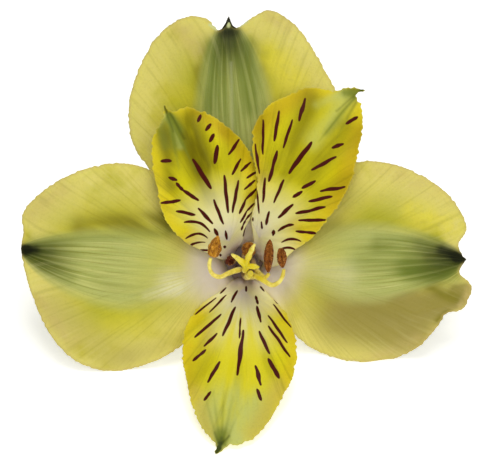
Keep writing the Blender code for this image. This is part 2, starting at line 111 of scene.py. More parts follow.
def paintedSurface(name, finish, base, patterns, layers, bumps=(), bumpHeight=0.0, bumpStrength=0.4):
    # A Principled surface, painted in layers over its base colour. A pattern is (size in mm, detail) for
    # even noise, (attribute, attribute, size, size, detail) for noise stretched along two attributes, or a
    # point to be measured from. A layer is a colour, a strength and masks (source, low, high), each 0 at low
    # and 1 at high of a pattern or an attribute.
    material = bpy.data.materials.new(name)
    material.use_nodes = True
    tree = material.node_tree
    shader = tree.nodes["Principled BSDF"]
    for socket, value in finish.items():
        shader.inputs[socket].default_value = value
    place = addNode(tree, "ShaderNodeTexCoord", output="Object")
    wanted = {mask[0] for layer in layers for mask in layer[2:]} - set(patterns)
    wanted |= {source for pattern in patterns.values() if len(pattern) == 5 for source in pattern[:2]}
    sources = {key: addNode(tree, "ShaderNodeAttribute", output="Fac", attribute_name=key)
               for key in sorted(wanted)}
    for key, pattern in patterns.items():
        if len(pattern) == 3:
            sources[key] = addNode(tree, "ShaderNodeVectorMath", {0: place, 1: pattern}, "Value",
                                   operation="DISTANCE")
            continue
        if len(pattern) == 5:
            across, along, width, length, detail = pattern
            vector = addNode(tree, "ShaderNodeCombineXYZ", {"X": sources[across], "Y": sources[along]}, 0)
            scale = (1 / width, 1 / length, 1.0)
        else:
            size, detail = pattern
            vector = place
            scale = (1 / (size * mm),) * 3
        vector = addNode(tree, "ShaderNodeVectorMath", {0: vector, 1: scale}, 0, operation="MULTIPLY")
        sources[key] = addNode(tree, "ShaderNodeTexNoise", {
            "Vector": vector, "Scale": 1.0, "Detail": detail}, "Fac")
    # a Mix node's sockets 6 and 7 are the two colours, and its output 2 is the mixed one
    colour = hexColour(base)
    for code, strength, *masks in layers:
        amount = strength
        for source, low, high in masks:
            mask = addNode(tree, "ShaderNodeMapRange", {
                "Value": sources[source], "From Min": low, "From Max": high}, "Result",
                interpolation_type="SMOOTHSTEP")
            amount = addNode(tree, "ShaderNodeMath", {0: mask, 1: amount}, 0, operation="MULTIPLY")
        colour = addNode(tree, "ShaderNodeMix", {0: amount, 6: colour, 7: hexColour(code)}, 2,
                         data_type="RGBA")
    tree.links.new(colour, shader.inputs["Base Color"])
    if bumps:
        height = sources[bumps[0]]
        for key in bumps[1:]:
            height = addNode(tree, "ShaderNodeMath", {0: height, 1: sources[key]}, 0, operation="ADD")
        bump = addNode(tree, "ShaderNodeBump", {
            "Height": height, "Strength": bumpStrength, "Distance": bumpHeight * mm}, 0)
        tree.links.new(bump, shader.inputs["Normal"])
    return material


def inScene(name, data):
    # a new object at the origin of the scene
    made = bpy.data.objects.new(name, data)
    bpy.context.scene.collection.objects.link(made)
    return made


def addPiece(name, mesh, slot, *nodes):
    # a finished piece of the bloom, in place of its CAD nodes
    piece = inScene(name, mesh)
    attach(piece, "root")
    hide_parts(*nodes)


def skinMesh(name, points, faces, material):
    # a smooth mesh of one material
    mesh = bpy.data.meshes.new(name)
    mesh.from_pydata(np.asarray(points, float).tolist(), [], faces)
    mesh.shade_smooth()
    mesh.materials.append(material)
    return mesh


def storeValues(mesh, values):
    # a number at each vertex, which materials and node trees read by its name
    for name, data in values.items():
        data = np.asarray(data, np.float32)
        mesh.attributes.new(name, "FLOAT", "POINT").data.foreach_set("value", data)


# The tepals' colours, and the sizes of their patterns in mm. A width of veins is an angle of their fan, and
# a width of stripes or hairs a share of the band.
outerLook = {
    "mid": "#BEB62A", "yellowGreen": "#A8A72A", "margin": "#DCD172", "bright": "#E0D43A", "olive": "#7A7312",
    "khaki": "#9E9148", "beige": "#C3AE6A", "green": "#6C7A28", "deepGreen": "#454E12", "dark": "#0E1104",
    "bandPale": "#C2C57A", "bandGreen": "#9AA350", "white": "#DEDAB0", "lilac": "#D6CABC",
    "throat": "#F0E0D6", "rim": "#E4DB98", "hood": "#C9CF96", "back": "#B9B657", "backVein": "#8C9640",
    "broadSize": 7.69, "mottleSize": 2.38, "cellSize": 0.385, "veinWidth": 0.021, "veinLength": 12.5,
    "wideVeinWidth": 0.182, "wideVeinLength": 20.0, "stripeWidth": 0.125, "stripeLength": 25.0,
    "hairWidth": 0.0455, "hairLength": 16.7,
}

innerLook = {
    "mid": "#D4CA14", "warm": "#D2AC06", "golden": "#BCA00C", "khaki": "#C6B44A", "edge": "#DFC726",
    "olive": "#6A6202", "green": "#747E26", "pale": "#BFC468", "dark": "#3A4408", "cream": "#ECE6AE",
    "lilac": "#DCD2CA", "throat": "#F6E8DC", "bright": "#DCD01C", "streak": "#47110A", "rim": "#E2D05A",
    "back": "#DAD25C", "broadSize": 5.88, "cellSize": 0.385, "veinWidth": 0.035, "veinLength": 20.0,
    "wideVeinWidth": 0.154, "wideVeinLength": 16.7,
}


def outerTepalSurface():
    # Fresh outer tepal of alstroemeria: a thin, moist blade with a satin skin of tiny cells. To the eye it
    # is soft yellow that lets light through, with faint veins that fan out and a striped green band.
    look = outerLook
    finish = {"Roughness": 0.5, "IOR": 1.4, "Subsurface Weight": 0.2, "Subsurface Radius": (1.0, 0.85, 0.25),
              "Subsurface Scale": 0.0008, "Specular IOR Level": 0.15}
    # cells are drawn coarser than the real 0.05 mm, so that they show
    patterns = {"broad": (look["broadSize"], 3.0), "mottle": (look["mottleSize"], 4.0),
                "cells": (look["cellSize"], 2.0),
                "veins": ("fan", "along", look["veinWidth"], look["veinLength"], 3.0),
                "wideVeins": ("fan", "along", look["wideVeinWidth"], look["wideVeinLength"], 3.0),
                "stripes": ("band", "along", look["stripeWidth"], look["stripeLength"], 3.0),
                "hairs": ("band", "along", look["hairWidth"], look["hairLength"], 1.0)}
    layers = [
        (look["yellowGreen"], 0.6, ("broad", 0.4, 0.66)),
        (look["yellowGreen"], 0.45, ("wideVeins", 0.48, 0.66)),
        (look["margin"], 0.9, ("edgeGap", 11.0, 1.5), ("broad", 0.2, 0.5)),
        # bright patches: lighter tone, partly a painted highlight where the light falls
        (look["bright"], 1.0, ("bright", 0.0, 1.0), ("mottle", 0.2, 0.6)),
        # khaki patches: partly a duller tone, partly painted shade in the right tepal's curled fold and
        # beside the inner tepals
        (look["khaki"], 1.0, ("khaki", 0.0, 1.0), ("wideVeins", -0.2, 0.45)),
        # olive patches: partly the tepal's olive tone, partly painted shade beside the inner tepals and
        # along folds
        (look["olive"], 1.0, ("olive", 0.0, 1.0), ("wideVeins", 0.2, 0.6)),
        (look["beige"], 1.0, ("beige", 0.0, 1.0), ("mottle", 0.1, 0.7)),
        (look["bandPale"], 0.85, ("bandEdge", 1.3, 0.7), ("bandRun", 0.02, 0.5)),
        (look["bandGreen"], 0.8, ("bandEdge", 1.25, 0.6), ("bandRun", 0.1, 0.6), ("stripes", 0.3, 0.66)),
        (look["olive"], 0.45, ("bandEdge", 1.1, 0.6), ("bandRun", 0.2, 0.7), ("hairs", 0.46, 0.7)),
        (look["green"], 1.0, ("green", 0.0, 1.0), ("stripes", -0.1, 0.6)),
        (look["deepGreen"], 0.95, ("tipGap", 13.5, 3.5), ("bandEdge", 1.3, 0.3), ("stripes", -0.1, 0.55)),
        # pale patches: mostly a paler tone, and on the left tepal a painted highlight along the crest of a
        # fold
        (look["white"], 1.0, ("pale", 0.0, 1.0), ("veins", 0.1, 0.6)),
        (look["olive"], 0.17, ("veins", 0.5, 0.72)),
        (look["olive"], 0.08, ("cells", 0.48, 0.72)),
        (look["rim"], 0.1, ("veins", 0.48, 0.3), ("edgeGap", 10.0, 2.0)),
        # pale lilac, then near white round the throat: partly its own pale throat, partly painted light that
        # lifts the shade down in it
        (look["lilac"], 0.9, ("throatGap", 12.5, 7.0)),
        (look["throat"], 0.9, ("throatGap", 6.5, 3.5)),
        (look["beige"], 0.5, ("edgeGap", 0.7, 0.05)),
        (look["dark"], 1.0, ("dark", 0.0, 1.15), ("stripes", -0.1, 0.45)),
        (look["hood"], 0.85, ("hood", 0.2, 0.8)),
        (look["dark"], 0.95, ("hoodGap", 0.1, -0.06)),
        (look["back"], 0.5, ("front", 1.0, 0.0)),
        (look["backVein"], 0.45, ("front", 1.0, 0.0), ("wideVeins", 0.45, 0.65)),
        (look["backVein"], 0.7, ("front", 1.0, 0.0), ("bandEdge", 0.35, 0.05), ("throatGap", 5.0, 12.0)),
    ]
    return paintedSurface("outerTepalSatin", finish, look["mid"], patterns, layers, ("veins", "cells"), 0.14)


def innerTepalSurface():
    # Fresh inner tepal: narrower, firmer and more deeply coloured, with maroon nectar marks in its skin.
    # To the eye it is vivid satin yellow, creamy and then lilac-grey towards the throat.
    look = innerLook
    finish = {"Roughness": 0.45, "IOR": 1.4, "Subsurface Weight": 0.1, "Subsurface Radius": (1.0, 0.8, 0.12),
              "Subsurface Scale": 0.0004, "Specular IOR Level": 0.12}
    patterns = {"broad": (look["broadSize"], 3.0), "cells": (look["cellSize"], 2.0),
                "veins": ("fan", "along", look["veinWidth"], look["veinLength"], 3.0),
                "wideVeins": ("fan", "along", look["wideVeinWidth"], look["wideVeinLength"], 3.0)}
    layers = [
        (look["warm"], 0.55, ("broad", 0.4, 0.68), ("fanEdge", 0.2, 0.6)),
        (look["edge"], 0.6, ("edgeGap", 3.6, 0.6)),
        (look["golden"], 1.0, ("golden", 0.0, 1.0), ("wideVeins", -0.1, 0.5)),
        (look["olive"], 0.28, ("wideVeins", 0.42, 0.7)),
        # olive patches: partly olive tone, partly painted shade in the hollows beside the midrib
        (look["olive"], 1.0, ("olive", 0.0, 1.0), ("wideVeins", 0.1, 0.5)),
        (look["pale"], 1.0, ("pale", 0.0, 1.0), ("wideVeins", 0.2, 0.55)),
        (look["khaki"], 1.0, ("khaki", 0.0, 1.0), ("wideVeins", 0.0, 0.5)),
        (look["green"], 1.0, ("green", 0.0, 1.0), ("wideVeins", 0.05, 0.5)),
        (look["olive"], 0.22, ("veins", 0.56, 0.72)),
        (look["olive"], 0.08, ("cells", 0.48, 0.72)),
        (look["cream"], 0.95, ("throatGap", 18.0, 8.0), ("fanEdge", 0.75, 0.25)),
        (look["cream"], 0.85, ("throatGap", 12.5, 6.5)),
        # bright patches: lighter tone, partly a painted highlight where the light falls
        (look["bright"], 0.95, ("bright", 0.0, 1.0), ("wideVeins", 0.66, 0.3)),
        # pale lilac towards the throat, and near white the deeper it goes: partly its own colour, partly
        # painted light against the throat's shade
        (look["lilac"], 0.9, ("throatGap", 9.5, 4.5), ("fanEdge", 0.95, 0.3)),
        (look["throat"], 1.0, ("depth", -4.5, -10.0)),
        (look["rim"], 0.25, ("edgeGap", 0.3, 0.05)),
        (look["dark"], 1.0, ("dark", 0.0, 1.0), ("wideVeins", 0.0, 0.45)),
        (look["streak"], 1.0, ("front", 0.0, 1.0), ("streak", 0.06, -0.05)),
        (look["back"], 0.8, ("front", 1.0, 0.0)),
        (look["olive"], 0.25, ("front", 1.0, 0.0), ("wideVeins", 0.45, 0.65)),
        (look["streak"], 0.3, ("front", 1.0, 0.0), ("streak", 0.2, -0.1)),
    ]
    return paintedSurface("innerTepalSatin", finish, look["mid"], patterns, layers, ("veins", "cells"), 0.12)


# The six tepals, in the face's mm. claw is the narrow foot, which has come clawTurn of the way round to the
# blade at its three points. outline is the blade's edge, anticlockwise from claw to claw, and tip counts its
# tip. cup is the edge's depth on the two sides, and ruffle is (height, waves, phase). Patches and folds lie
# along a line, as (x, y, x, y, reach, strength or height), and streaks and hoodLines are
# (x, y, x, y, half width, bow). The olive and khaki patches are partly painted shade, beside the inner
# tepals and along folds, and the pale and bright ones are partly painted highlights.

outerClaw = {"radius": (3.5, 4.0, 5.2), "depth": (-17.0, -12.6, -8.6), "halfWidth": (1.9, 2.9)}
innerClaw = {"radius": (2.7, 3.1, 4.3), "depth": (-17.0, -12.2, -6.9), "halfWidth": (1.1, 1.4)}
clawTurn = (0.0, 0.35, 0.75)

# What all tepals share: mesh spacings, thickness, form, teeth, low relief, fan of veins and green band.
blade = {
    "spacing": 0.34, "innerSpacing": 0.2, "edgeSpacing": 0.17, "edgeStretch": 1.2, "edgeClearance": 0.55,
    "coarseEdge": 0.5, "stations": 400, "probeStep": 0.05, "floorGap": 0.02,
    "thickness": 0.42, "edgeThickness": 0.12, "taperReach": 2.5, "midribHeight": 0.12, "midribWidth": 1.4,
    "tipHeight": 0.16, "tipReach": 2.5,
    "bendPower": 5, "cupPower": 1.8, "creaseDepth": 0.3, "creaseWidth": 1.3, "ruffleReach": 7.0,
    "centre": 0.55,
    "serration": 0.12, "innerSerration": 0.2, "wideTooth": 0.8, "wideTeeth": 0.55, "fineTeeth": 1.55,
    "teethSeed": 5.0, "teethStart": 3.0,
    "veinHeight": 0.035, "veinsAcross": 9.0, "veinsAlong": 0.03, "reliefStart": 6.0, "reliefEdge": 0.6,
    "wrinkleHeight": 0.16, "wrinklesAcross": 8.0, "wrinklesAlong": 0.09, "wrinkleSeed": 7,
    "wrinkleReach": 9.0,
    "fanFoot": 0.8, "fanPull": 1.5, "veinBend": -0.05,
    "bandSkew": 0.8, "bandPower": 0.75, "bandLeast": 0.1,
}

outerTop = {
    "name": "tepalOuterTop", "node": "tepal_outer_top", "claw": outerClaw, "seed": 3.0,
    "baseAngle": 90, "foot": (0.9, 0.0), "angle": 95.2, "tipBend": 0.0,
    "profile": [(7.0, -6.4), (12.5, -3.5), (20.0, -1.9), (30.0, -1.5), (38.0, -2.8), (46.0, -6.5)],
    "outline": [(3.6, 8.2), (9.0, 13.0), (15.0, 18.5), (17.8, 25.5), (16.4, 31.0), (14.3, 35.0),
                (11.5, 39.8), (8.4, 43.5), (4.4, 45.5), (1.0, 43.9), (-1.4, 42.3), (-2.8, 44.2),
                (-4.4, 41.9), (-6.8, 44.0), (-10.4, 44.3), (-14.5, 41.9), (-18.6, 35.5),
                (-20.7, 27.6), (-20.0, 21.8), (-17.3, 17.4), (-9.5, 11.2), (-3.4, 7.6)],
    "tip": 11, "cup": (-3.0, -4.6), "ruffle": (0.6, 7, 0.4), "bandShift": 0.0, "bandHalf": 6.2,
    "olive": [(-5.6, 38.0, 0.2, 38.0, 3.2, 0.75), (-8.0, 34.5, -8.2, 25.5, 1.5, 0.5),
              (-2.6, 18.0, -2.6, 30.0, 5.0, 0.3), (3.0, 34.5, 4.2, 27.5, 1.5, 0.45),
              (-15.0, 20.0, -9.0, 15.0, 4.0, 0.4)],
    "beige": [(-12.3, 43.0, -8.0, 38.5, 2.4, 0.5), (4.6, 45.0, 7.6, 42.7, 1.8, 0.55)],
    "bright": [(5.0, 37.0, 9.0, 33.0, 3.5, 0.6)],
    "green": [(-6.4, 28.0, -5.2, 39.0, 2.0, 0.45), (1.8, 28.0, 0.6, 39.0, 2.0, 0.45),
              (-2.6, 18.0, -2.7, 37.0, 4.8, 0.5)],
    "pale": [(-2.3, 36.0, -2.0, 22.0, 0.4, 0.3)],
    "dark": [(-4.0, 41.5, -1.4, 41.7, 1.3, 0.42), (-2.8, 41.4, -2.7, 39.0, 1.8, 0.32),
             (-2.8, 40.0, -2.7, 35.0, 3.0, 0.16)],
    "hoodLines": [(-2.8, 43.8, -4.1, 42.1, 0.5, 0), (-2.8, 43.8, -1.6, 42.3, 0.5, 0)],
    "hood": [(-2.8, 42.9, -2.8, 42.6, 0.45, 1.0), (-4.9, 42.0, -6.2, 42.9, 0.35, 0.8),
             (-0.9, 42.5, 0.6, 43.5, 0.35, 0.8)],
    "folds": [(-7.2, 20.0, -6.0, 42.0, 1.6, 0.3), (2.6, 20.0, 1.4, 42.0, 1.6, 0.3),
              (-2.3, 20.0, -2.7, 42.0, 1.0, -0.3), (-2.8, 42.0, -2.8, 45.4, 0.6, 0.6)],
}

outerLeft = {
    "name": "tepalOuterLeft", "node": "tepal_outer_left", "claw": outerClaw, "seed": 11.0,
    "baseAngle": 210, "foot": (0.0, -1.2), "angle": 175.0, "tipBend": -0.4,
    "profile": [(7.5, -6.6), (13.0, -3.8), (20.0, -2.3), (28.0, -2.1), (35.0, -3.4), (42.0, -6.4)],
    "outline": [(-6.6, 2.6), (-9.4, 7.6), (-13.2, 13.4), (-17.5, 17.1), (-23.5, 18.0), (-30.5, 16.2),
                (-36.2, 12.9), (-39.7, 8.8), (-39.6, 5.2), (-40.0, 2.6), (-39.2, -1.5), (-37.5, -7.0),
                (-34.7, -12.8), (-30.4, -17.3), (-24.4, -19.3), (-18.0, -18.2), (-12.0, -15.2),
                (-8.0, -11.0), (-5.4, -6.4)],
    "tip": 9, "cup": (-0.7, -6.0), "ruffle": (0.55, 6, 1.2), "bandShift": 1.6, "bandHalf": 6.0,
    "olive": [(-29.0, 6.6, -13.0, 7.6, 2.5, 0.85), (-20.6, -5.8, -14.4, -3.8, 0.4, 0.5)],
    "beige": [(-38.0, 9.0, -33.0, 13.5, 2.6, 0.45), (-37.3, -6.4, -31.0, -14.0, 2.2, 0.5)],
    "khaki": [(-14.0, 14.0, -11.0, 9.0, 3.0, 0.5), (-34.0, -8.0, -24.0, -17.0, 4.0, 0.4),
              (-20.0, -16.5, -12.0, -14.0, 2.6, 0.35)],
    "pale": [(-13.0, -3.2, -6.0, -5.0, 3.4, 0.62), (-17.6, -5.7, -12.0, -4.6, 1.1, 0.32)],
    "bright": [(-24.0, -9.5, -20.0, -10.5, 3.0, 0.35)],
    "green": [(-38.0, 4.0, -14.0, 5.6, 1.7, 0.42), (-38.0, 1.4, -31.0, -2.4, 1.6, 0.4)],
    "dark": [(-40.2, 2.6, -39.2, 2.55, 0.9, 0.9), (-39.2, 2.5, -37.4, 2.5, 1.1, 0.6),
             (-38.2, 2.5, -34.6, 2.5, 1.7, 0.3)],
    "folds": [(-24.0, -7.0, -8.0, -3.4, 0.9, 0.5), (-30.0, -8.7, -12.0, -7.3, 1.6, -0.3),
              (-34.0, 7.0, -12.0, 8.0, 2.8, -0.22), (-34.0, 12.7, -12.0, 11.3, 2.6, 0.3)],
}

outerRight = {
    "name": "tepalOuterRight", "node": "tepal_outer_right", "claw": outerClaw, "seed": 23.0,
    "baseAngle": -30, "foot": (0.0, -1.2), "angle": 2.5, "tipBend": 0.0,
    "profile": [(7.5, -6.6), (13.0, -3.8), (20.0, -2.3), (28.0, -2.1), (35.0, -3.2), (42.0, -6.0)],
    "outline": [(5.4, -6.4), (8.0, -11.2), (12.0, -15.0), (18.6, -17.4), (26.0, -17.3), (31.2, -15.0),
                (34.6, -11.4), (36.4, -8.8), (39.0, -8.2), (40.7, -3.8), (38.6, -1.4), (39.8, 0.7),
                (38.4, 3.1), (39.9, 6.2), (37.9, 10.8), (32.4, 15.5), (26.0, 18.0), (19.8, 18.1),
                (14.6, 14.4), (10.0, 8.4), (6.8, 2.8)],
    "tip": 11, "cup": (-8.6, -1.6), "ruffle": (0.7, 8, 2.3), "bandShift": 0.4, "bandHalf": 6.0,
    "olive": [(20.0, -8.0, 34.0, -7.0, 3.4, 0.3), (33.5, -3.9, 38.6, -6.0, 1.2, 0.85),
              (36.4, -8.7, 34.8, -10.4, 0.8, 0.8), (14.0, 6.6, 26.0, 5.4, 2.4, 0.45)],
    "khaki": [(18.0, -9.0, 30.0, -12.0, 6.0, 0.9), (24.0, -6.0, 34.0, -7.0, 3.0, 0.6),
              (35.5, -7.0, 39.4, -6.0, 1.8, 1.0), (38.0, -4.6, 40.0, -4.4, 1.1, 0.9)],
    "beige": [(24.3, 17.7, 36.4, 12.6, 2.4, 0.45), (22.0, -17.4, 34.0, -12.4, 1.6, 0.5),
              (38.8, -7.2, 40.4, -4.4, 0.9, 0.7)],
    "pale": [(8.0, 0.5, 18.0, -2.0, 3.4, 0.4)],
    "bright": [(30.0, 9.5, 37.0, 7.0, 2.4, 0.55)],
    "green": [(29.5, -1.0, 38.0, -1.6, 2.5, 0.55), (21.0, 0.6, 35.0, -0.8, 3.0, 0.45),
              (24.0, 3.8, 34.0, 4.2, 1.8, 0.5)],
    "dark": [(40.4, 0.5, 38.2, 1.1, 0.8, 0.85), (38.2, 1.4, 35.4, 2.6, 1.2, 0.5),
             (37.0, 2.0, 31.5, 3.4, 1.8, 0.35), (37.6, 0.4, 33.0, 0.8, 1.4, 0.3)],
    "folds": [(25.0, -7.2, 37.4, -3.4, 1.0, -0.8), (27.0, -9.4, 40.0, -6.0, 1.5, 0.8),
              (10.0, -5.0, 30.0, -12.6, 1.7, -0.5), (12.0, -9.9, 30.0, -15.6, 1.7, 0.5),
              (14.0, 8.4, 34.0, 6.2, 1.6, -0.4), (16.0, 11.7, 35.0, 9.8, 2.2, 0.35)],
}

innerLeft = {
    "name": "tepalInnerLeft", "node": "tepal_inner_left", "claw": innerClaw, "seed": 31.0,
    "baseAngle": 150, "foot": (-0.6, 0.0), "angle": 116.0, "tipBend": 0.0,
    "profile": [(6.6, -3.4), (10.0, -1.1), (16.0, 1.3), (23.0, 2.8), (28.0, 3.2), (34.0, 4.8)],
    "outline": [(0.5, 6.6), (2.3, 12.0), (2.1, 17.0), (0.2, 21.2), (-3.0, 24.5), (-7.0, 27.0),
                (-10.6, 27.9), (-12.6, 27.2), (-14.2, 28.2), (-14.8, 25.4), (-16.2, 22.6),
                (-16.3, 18.0), (-15.3, 12.5), (-14.0, 7.9), (-11.0, 4.3), (-6.2, 2.2)],
    "tip": 8, "cup": (-1.4, 0.6), "ruffle": (0.35, 6, 0.0),
    "golden": [(-8.6, 27.4, -3.4, 24.4, 1.6, 0.6), (-3.0, 23.6, 1.6, 17.6, 1.8, 0.65)],
    "olive": [(-9.8, 26.0, -6.6, 18.0, 2.4, 0.65), (-12.0, 23.0, -6.0, 12.0, 2.8, 0.55),
              (-14.8, 25.0, -13.0, 14.0, 1.6, 0.55)],
    "green": [(-13.2, 25.6, -11.6, 21.6, 1.8, 0.55), (-13.2, 26.2, -11.6, 24.2, 0.9, 0.5),
              (-15.4, 24.6, -14.2, 21.0, 1.0, 0.45), (-13.4, 26.6, -8.6, 16.6, 0.35, 0.35),
              (-13.6, 26.4, -11.6, 17.0, 0.35, 0.35)],
    "pale": [(-15.2, 24.7, -14.2, 26.4, 0.8, 0.5), (-13.4, 26.2, -11.6, 21.0, 0.7, 0.8)],
    "dark": [(-14.4, 28.4, -13.9, 27.3, 0.42, 0.8), (-13.9, 26.8, -12.8, 23.6, 0.3, 0.4),
             (-13.2, 27.0, -10.6, 22.4, 0.35, 0.5)],
    "folds": [(-15.4, 29.0, -6.0, 12.0, 1.1, 0.6), (-10.6, 27.9, -4.6, 14.5, 1.7, -0.7),
              (-4.6, 25.0, -1.2, 13.0, 2.0, 0.35)],
    "streaks": [
        (-7.7, 26.6, -8.2, 25.4, 0.4, 0), (-5.9, 25.0, -6.8, 23.8, 0.4, 0),
        (-5.4, 23.2, -6.1, 21.8, 0.42, 0), (-4.8, 21.2, -5.2, 17.9, 0.46, 0),
        (-0.9, 22.3, -2.9, 19.6, 0.36, 0), (-0.7, 18.8, -2.3, 16.1, 0.36, 0),
        (1.2, 18.2, -0.7, 16.6, 0.32, 0), (2.1, 16.4, 0.4, 15.4, 0.3, 0), (2.0, 15.0, 0.0, 13.4, 0.3, 0),
        (2.3, 13.6, 0.2, 11.6, 0.32, 0), (0.2, 11.6, -0.9, 9.1, 0.36, 0), (1.8, 10.9, 0.4, 9.5, 0.26, 0),
        (0.4, 9.5, -0.7, 7.5, 0.3, 0), (1.4, 9.3, 0.2, 7.9, 0.24, 0), (0.2, 7.9, -0.5, 6.1, 0.26, 0),
        (0.7, 7.1, -0.2, 5.0, 0.24, 0), (-3.6, 15.9, -2.9, 9.3, 0.4, 0), (-1.1, 15.0, -2.1, 9.3, 0.38, 0),
        (-9.1, 18.8, -5.9, 13.6, 0.5, 0), (-5.4, 11.6, -3.8, 7.3, 0.38, 0), (-8.2, 10.0, -5.7, 7.3, 0.4, 0),
        (-14.8, 18.4, -13.0, 18.4, 0.42, 0), (-13.4, 15.5, -12.0, 15.0, 0.42, 0),
        (-12.1, 14.5, -10.9, 13.2, 0.4, 0), (-10.9, 13.2, -8.2, 11.4, 0.44, 0),
        (-14.8, 10.9, -11.4, 11.4, 0.4, 0), (-12.1, 9.5, -8.8, 8.9, 0.4, 0),
        (-10.7, 7.5, -6.2, 5.9, 0.36, 0.8), (-10.5, 4.6, -6.6, 4.8, 0.3, 0.8),
        (-9.8, 3.2, -7.0, 3.9, 0.28, 0.35), (-7.9, 2.5, -6.4, 2.5, 0.26, 0), (-5.4, 6.4, -4.8, 5.2, 0.4, 0),
        (-3.4, 6.1, -3.2, 4.6, 0.34, 0), (-3.6, 3.4, -3.6, 3.0, 0.34, 0), (-4.3, 1.8, -4.3, 1.4, 0.3, 0),
    ],
}

innerRight = {
    "name": "tepalInnerRight", "node": "tepal_inner_right", "claw": innerClaw, "seed": 43.0,
    "baseAngle": 30, "foot": (-1.2, 1.0), "angle": 56.0, "tipBend": -1.2,
    "profile": [(7.4, -3.4), (11.0, -1.1), (17.0, 1.3), (24.0, 3.0), (30.0, 3.6), (38.0, 4.6)],
    "outline": [(6.0, 1.9), (10.6, 3.4), (14.8, 7.8), (18.6, 13.6), (20.3, 19.8), (21.1, 25.2),
                (20.6, 28.6), (19.9, 30.1), (21.7, 31.0), (18.4, 31.4), (16.2, 30.8), (13.8, 31.2),
                (11.0, 31.4), (8.4, 30.3), (4.4, 28.2), (1.8, 24.4), (1.6, 19.6), (2.4, 14.0), (1.2, 7.9)],
    "tip": 8, "cup": (0.2, 0.7), "ruffle": (0.4, 7, 1.5),
    "golden": [(2.6, 25.4, 10.6, 30.4, 2.6, 0.65), (16.6, 10.0, 21.0, 23.0, 3.2, 0.75),
               (2.4, 25.0, 2.4, 15.0, 1.6, 0.4)],
    "olive": [(12.4, 29.0, 6.6, 17.0, 2.6, 0.6), (17.6, 24.4, 11.5, 15.0, 2.6, 0.55),
              (3.2, 26.6, 2.2, 17.0, 1.4, 0.35)],
    "green": [(18.0, 30.6, 21.6, 30.8, 1.0, 0.7), (19.6, 29.6, 15.0, 23.5, 1.2, 0.4),
              (20.6, 30.6, 13.4, 21.8, 0.3, 0.3), (20.8, 30.2, 16.6, 22.6, 0.3, 0.25)],
    "pale": [(18.6, 29.6, 12.4, 22.0, 2.0, 0.6), (17.6, 30.6, 13.0, 28.4, 1.0, 0.45)],
    "dark": [(22.2, 31.3, 21.2, 31.25, 0.4, 0.9), (21.0, 31.2, 18.6, 31.1, 0.3, 0.4),
             (20.8, 30.9, 16.4, 27.4, 0.3, 0.4), (21.0, 30.6, 18.4, 26.0, 0.3, 0.3)],
    "folds": [(22.0, 32.4, 6.0, 12.5, 1.3, 0.5), (18.0, 33.4, 5.6, 17.5, 1.6, -0.5),
              (22.0, 26.8, 11.0, 11.0, 1.8, -0.4)],
    "streaks": [
        (10.9, 29.5, 9.8, 25.5, 0.42, 0), (20.2, 26.2, 18.2, 25.0, 0.42, 0),
        (17.7, 21.4, 15.7, 20.7, 0.42, 0), (16.4, 19.1, 12.1, 16.8, 0.42, 0),
        (6.2, 27.3, 5.4, 22.0, 0.4, 0), (3.4, 25.7, 3.4, 19.6, 0.32, 0), (8.6, 25.7, 7.0, 20.7, 0.36, 0),
        (2.0, 21.4, 2.7, 16.2, 0.3, 0), (5.9, 20.2, 4.5, 14.8, 0.42, 0), (12.0, 21.8, 8.0, 16.4, 0.52, 0),
        (3.8, 15.5, 3.4, 11.1, 0.34, 0), (7.1, 15.2, 5.4, 11.1, 0.38, 0), (12.7, 14.8, 10.4, 13.6, 0.44, 0),
        (10.4, 13.0, 8.8, 12.0, 0.42, 0), (18.0, 13.8, 13.6, 13.0, 0.4, 0),
        (15.7, 12.1, 11.6, 11.2, 0.4, 0), (8.8, 10.7, 6.2, 8.4, 0.42, 0), (14.5, 10.2, 9.3, 9.1, 0.4, 0),
        (14.6, 7.9, 9.8, 7.9, 0.38, 0), (2.3, 13.2, 2.7, 9.1, 0.24, 0), (4.6, 9.5, 4.1, 7.1, 0.34, 0),
        (8.9, 7.1, 6.2, 5.9, 0.36, -0.3), (12.9, 5.5, 9.3, 5.9, 0.36, 0), (5.4, 6.1, 5.2, 5.2, 0.4, 0),
        (3.2, 7.7, 3.4, 6.4, 0.24, 0), (1.6, 8.4, 1.6, 7.7, 0.2, 0), (10.2, 4.1, 6.8, 3.9, 0.3, -0.55),
        (9.3, 2.5, 6.4, 2.5, 0.28, -0.45),
    ],
}

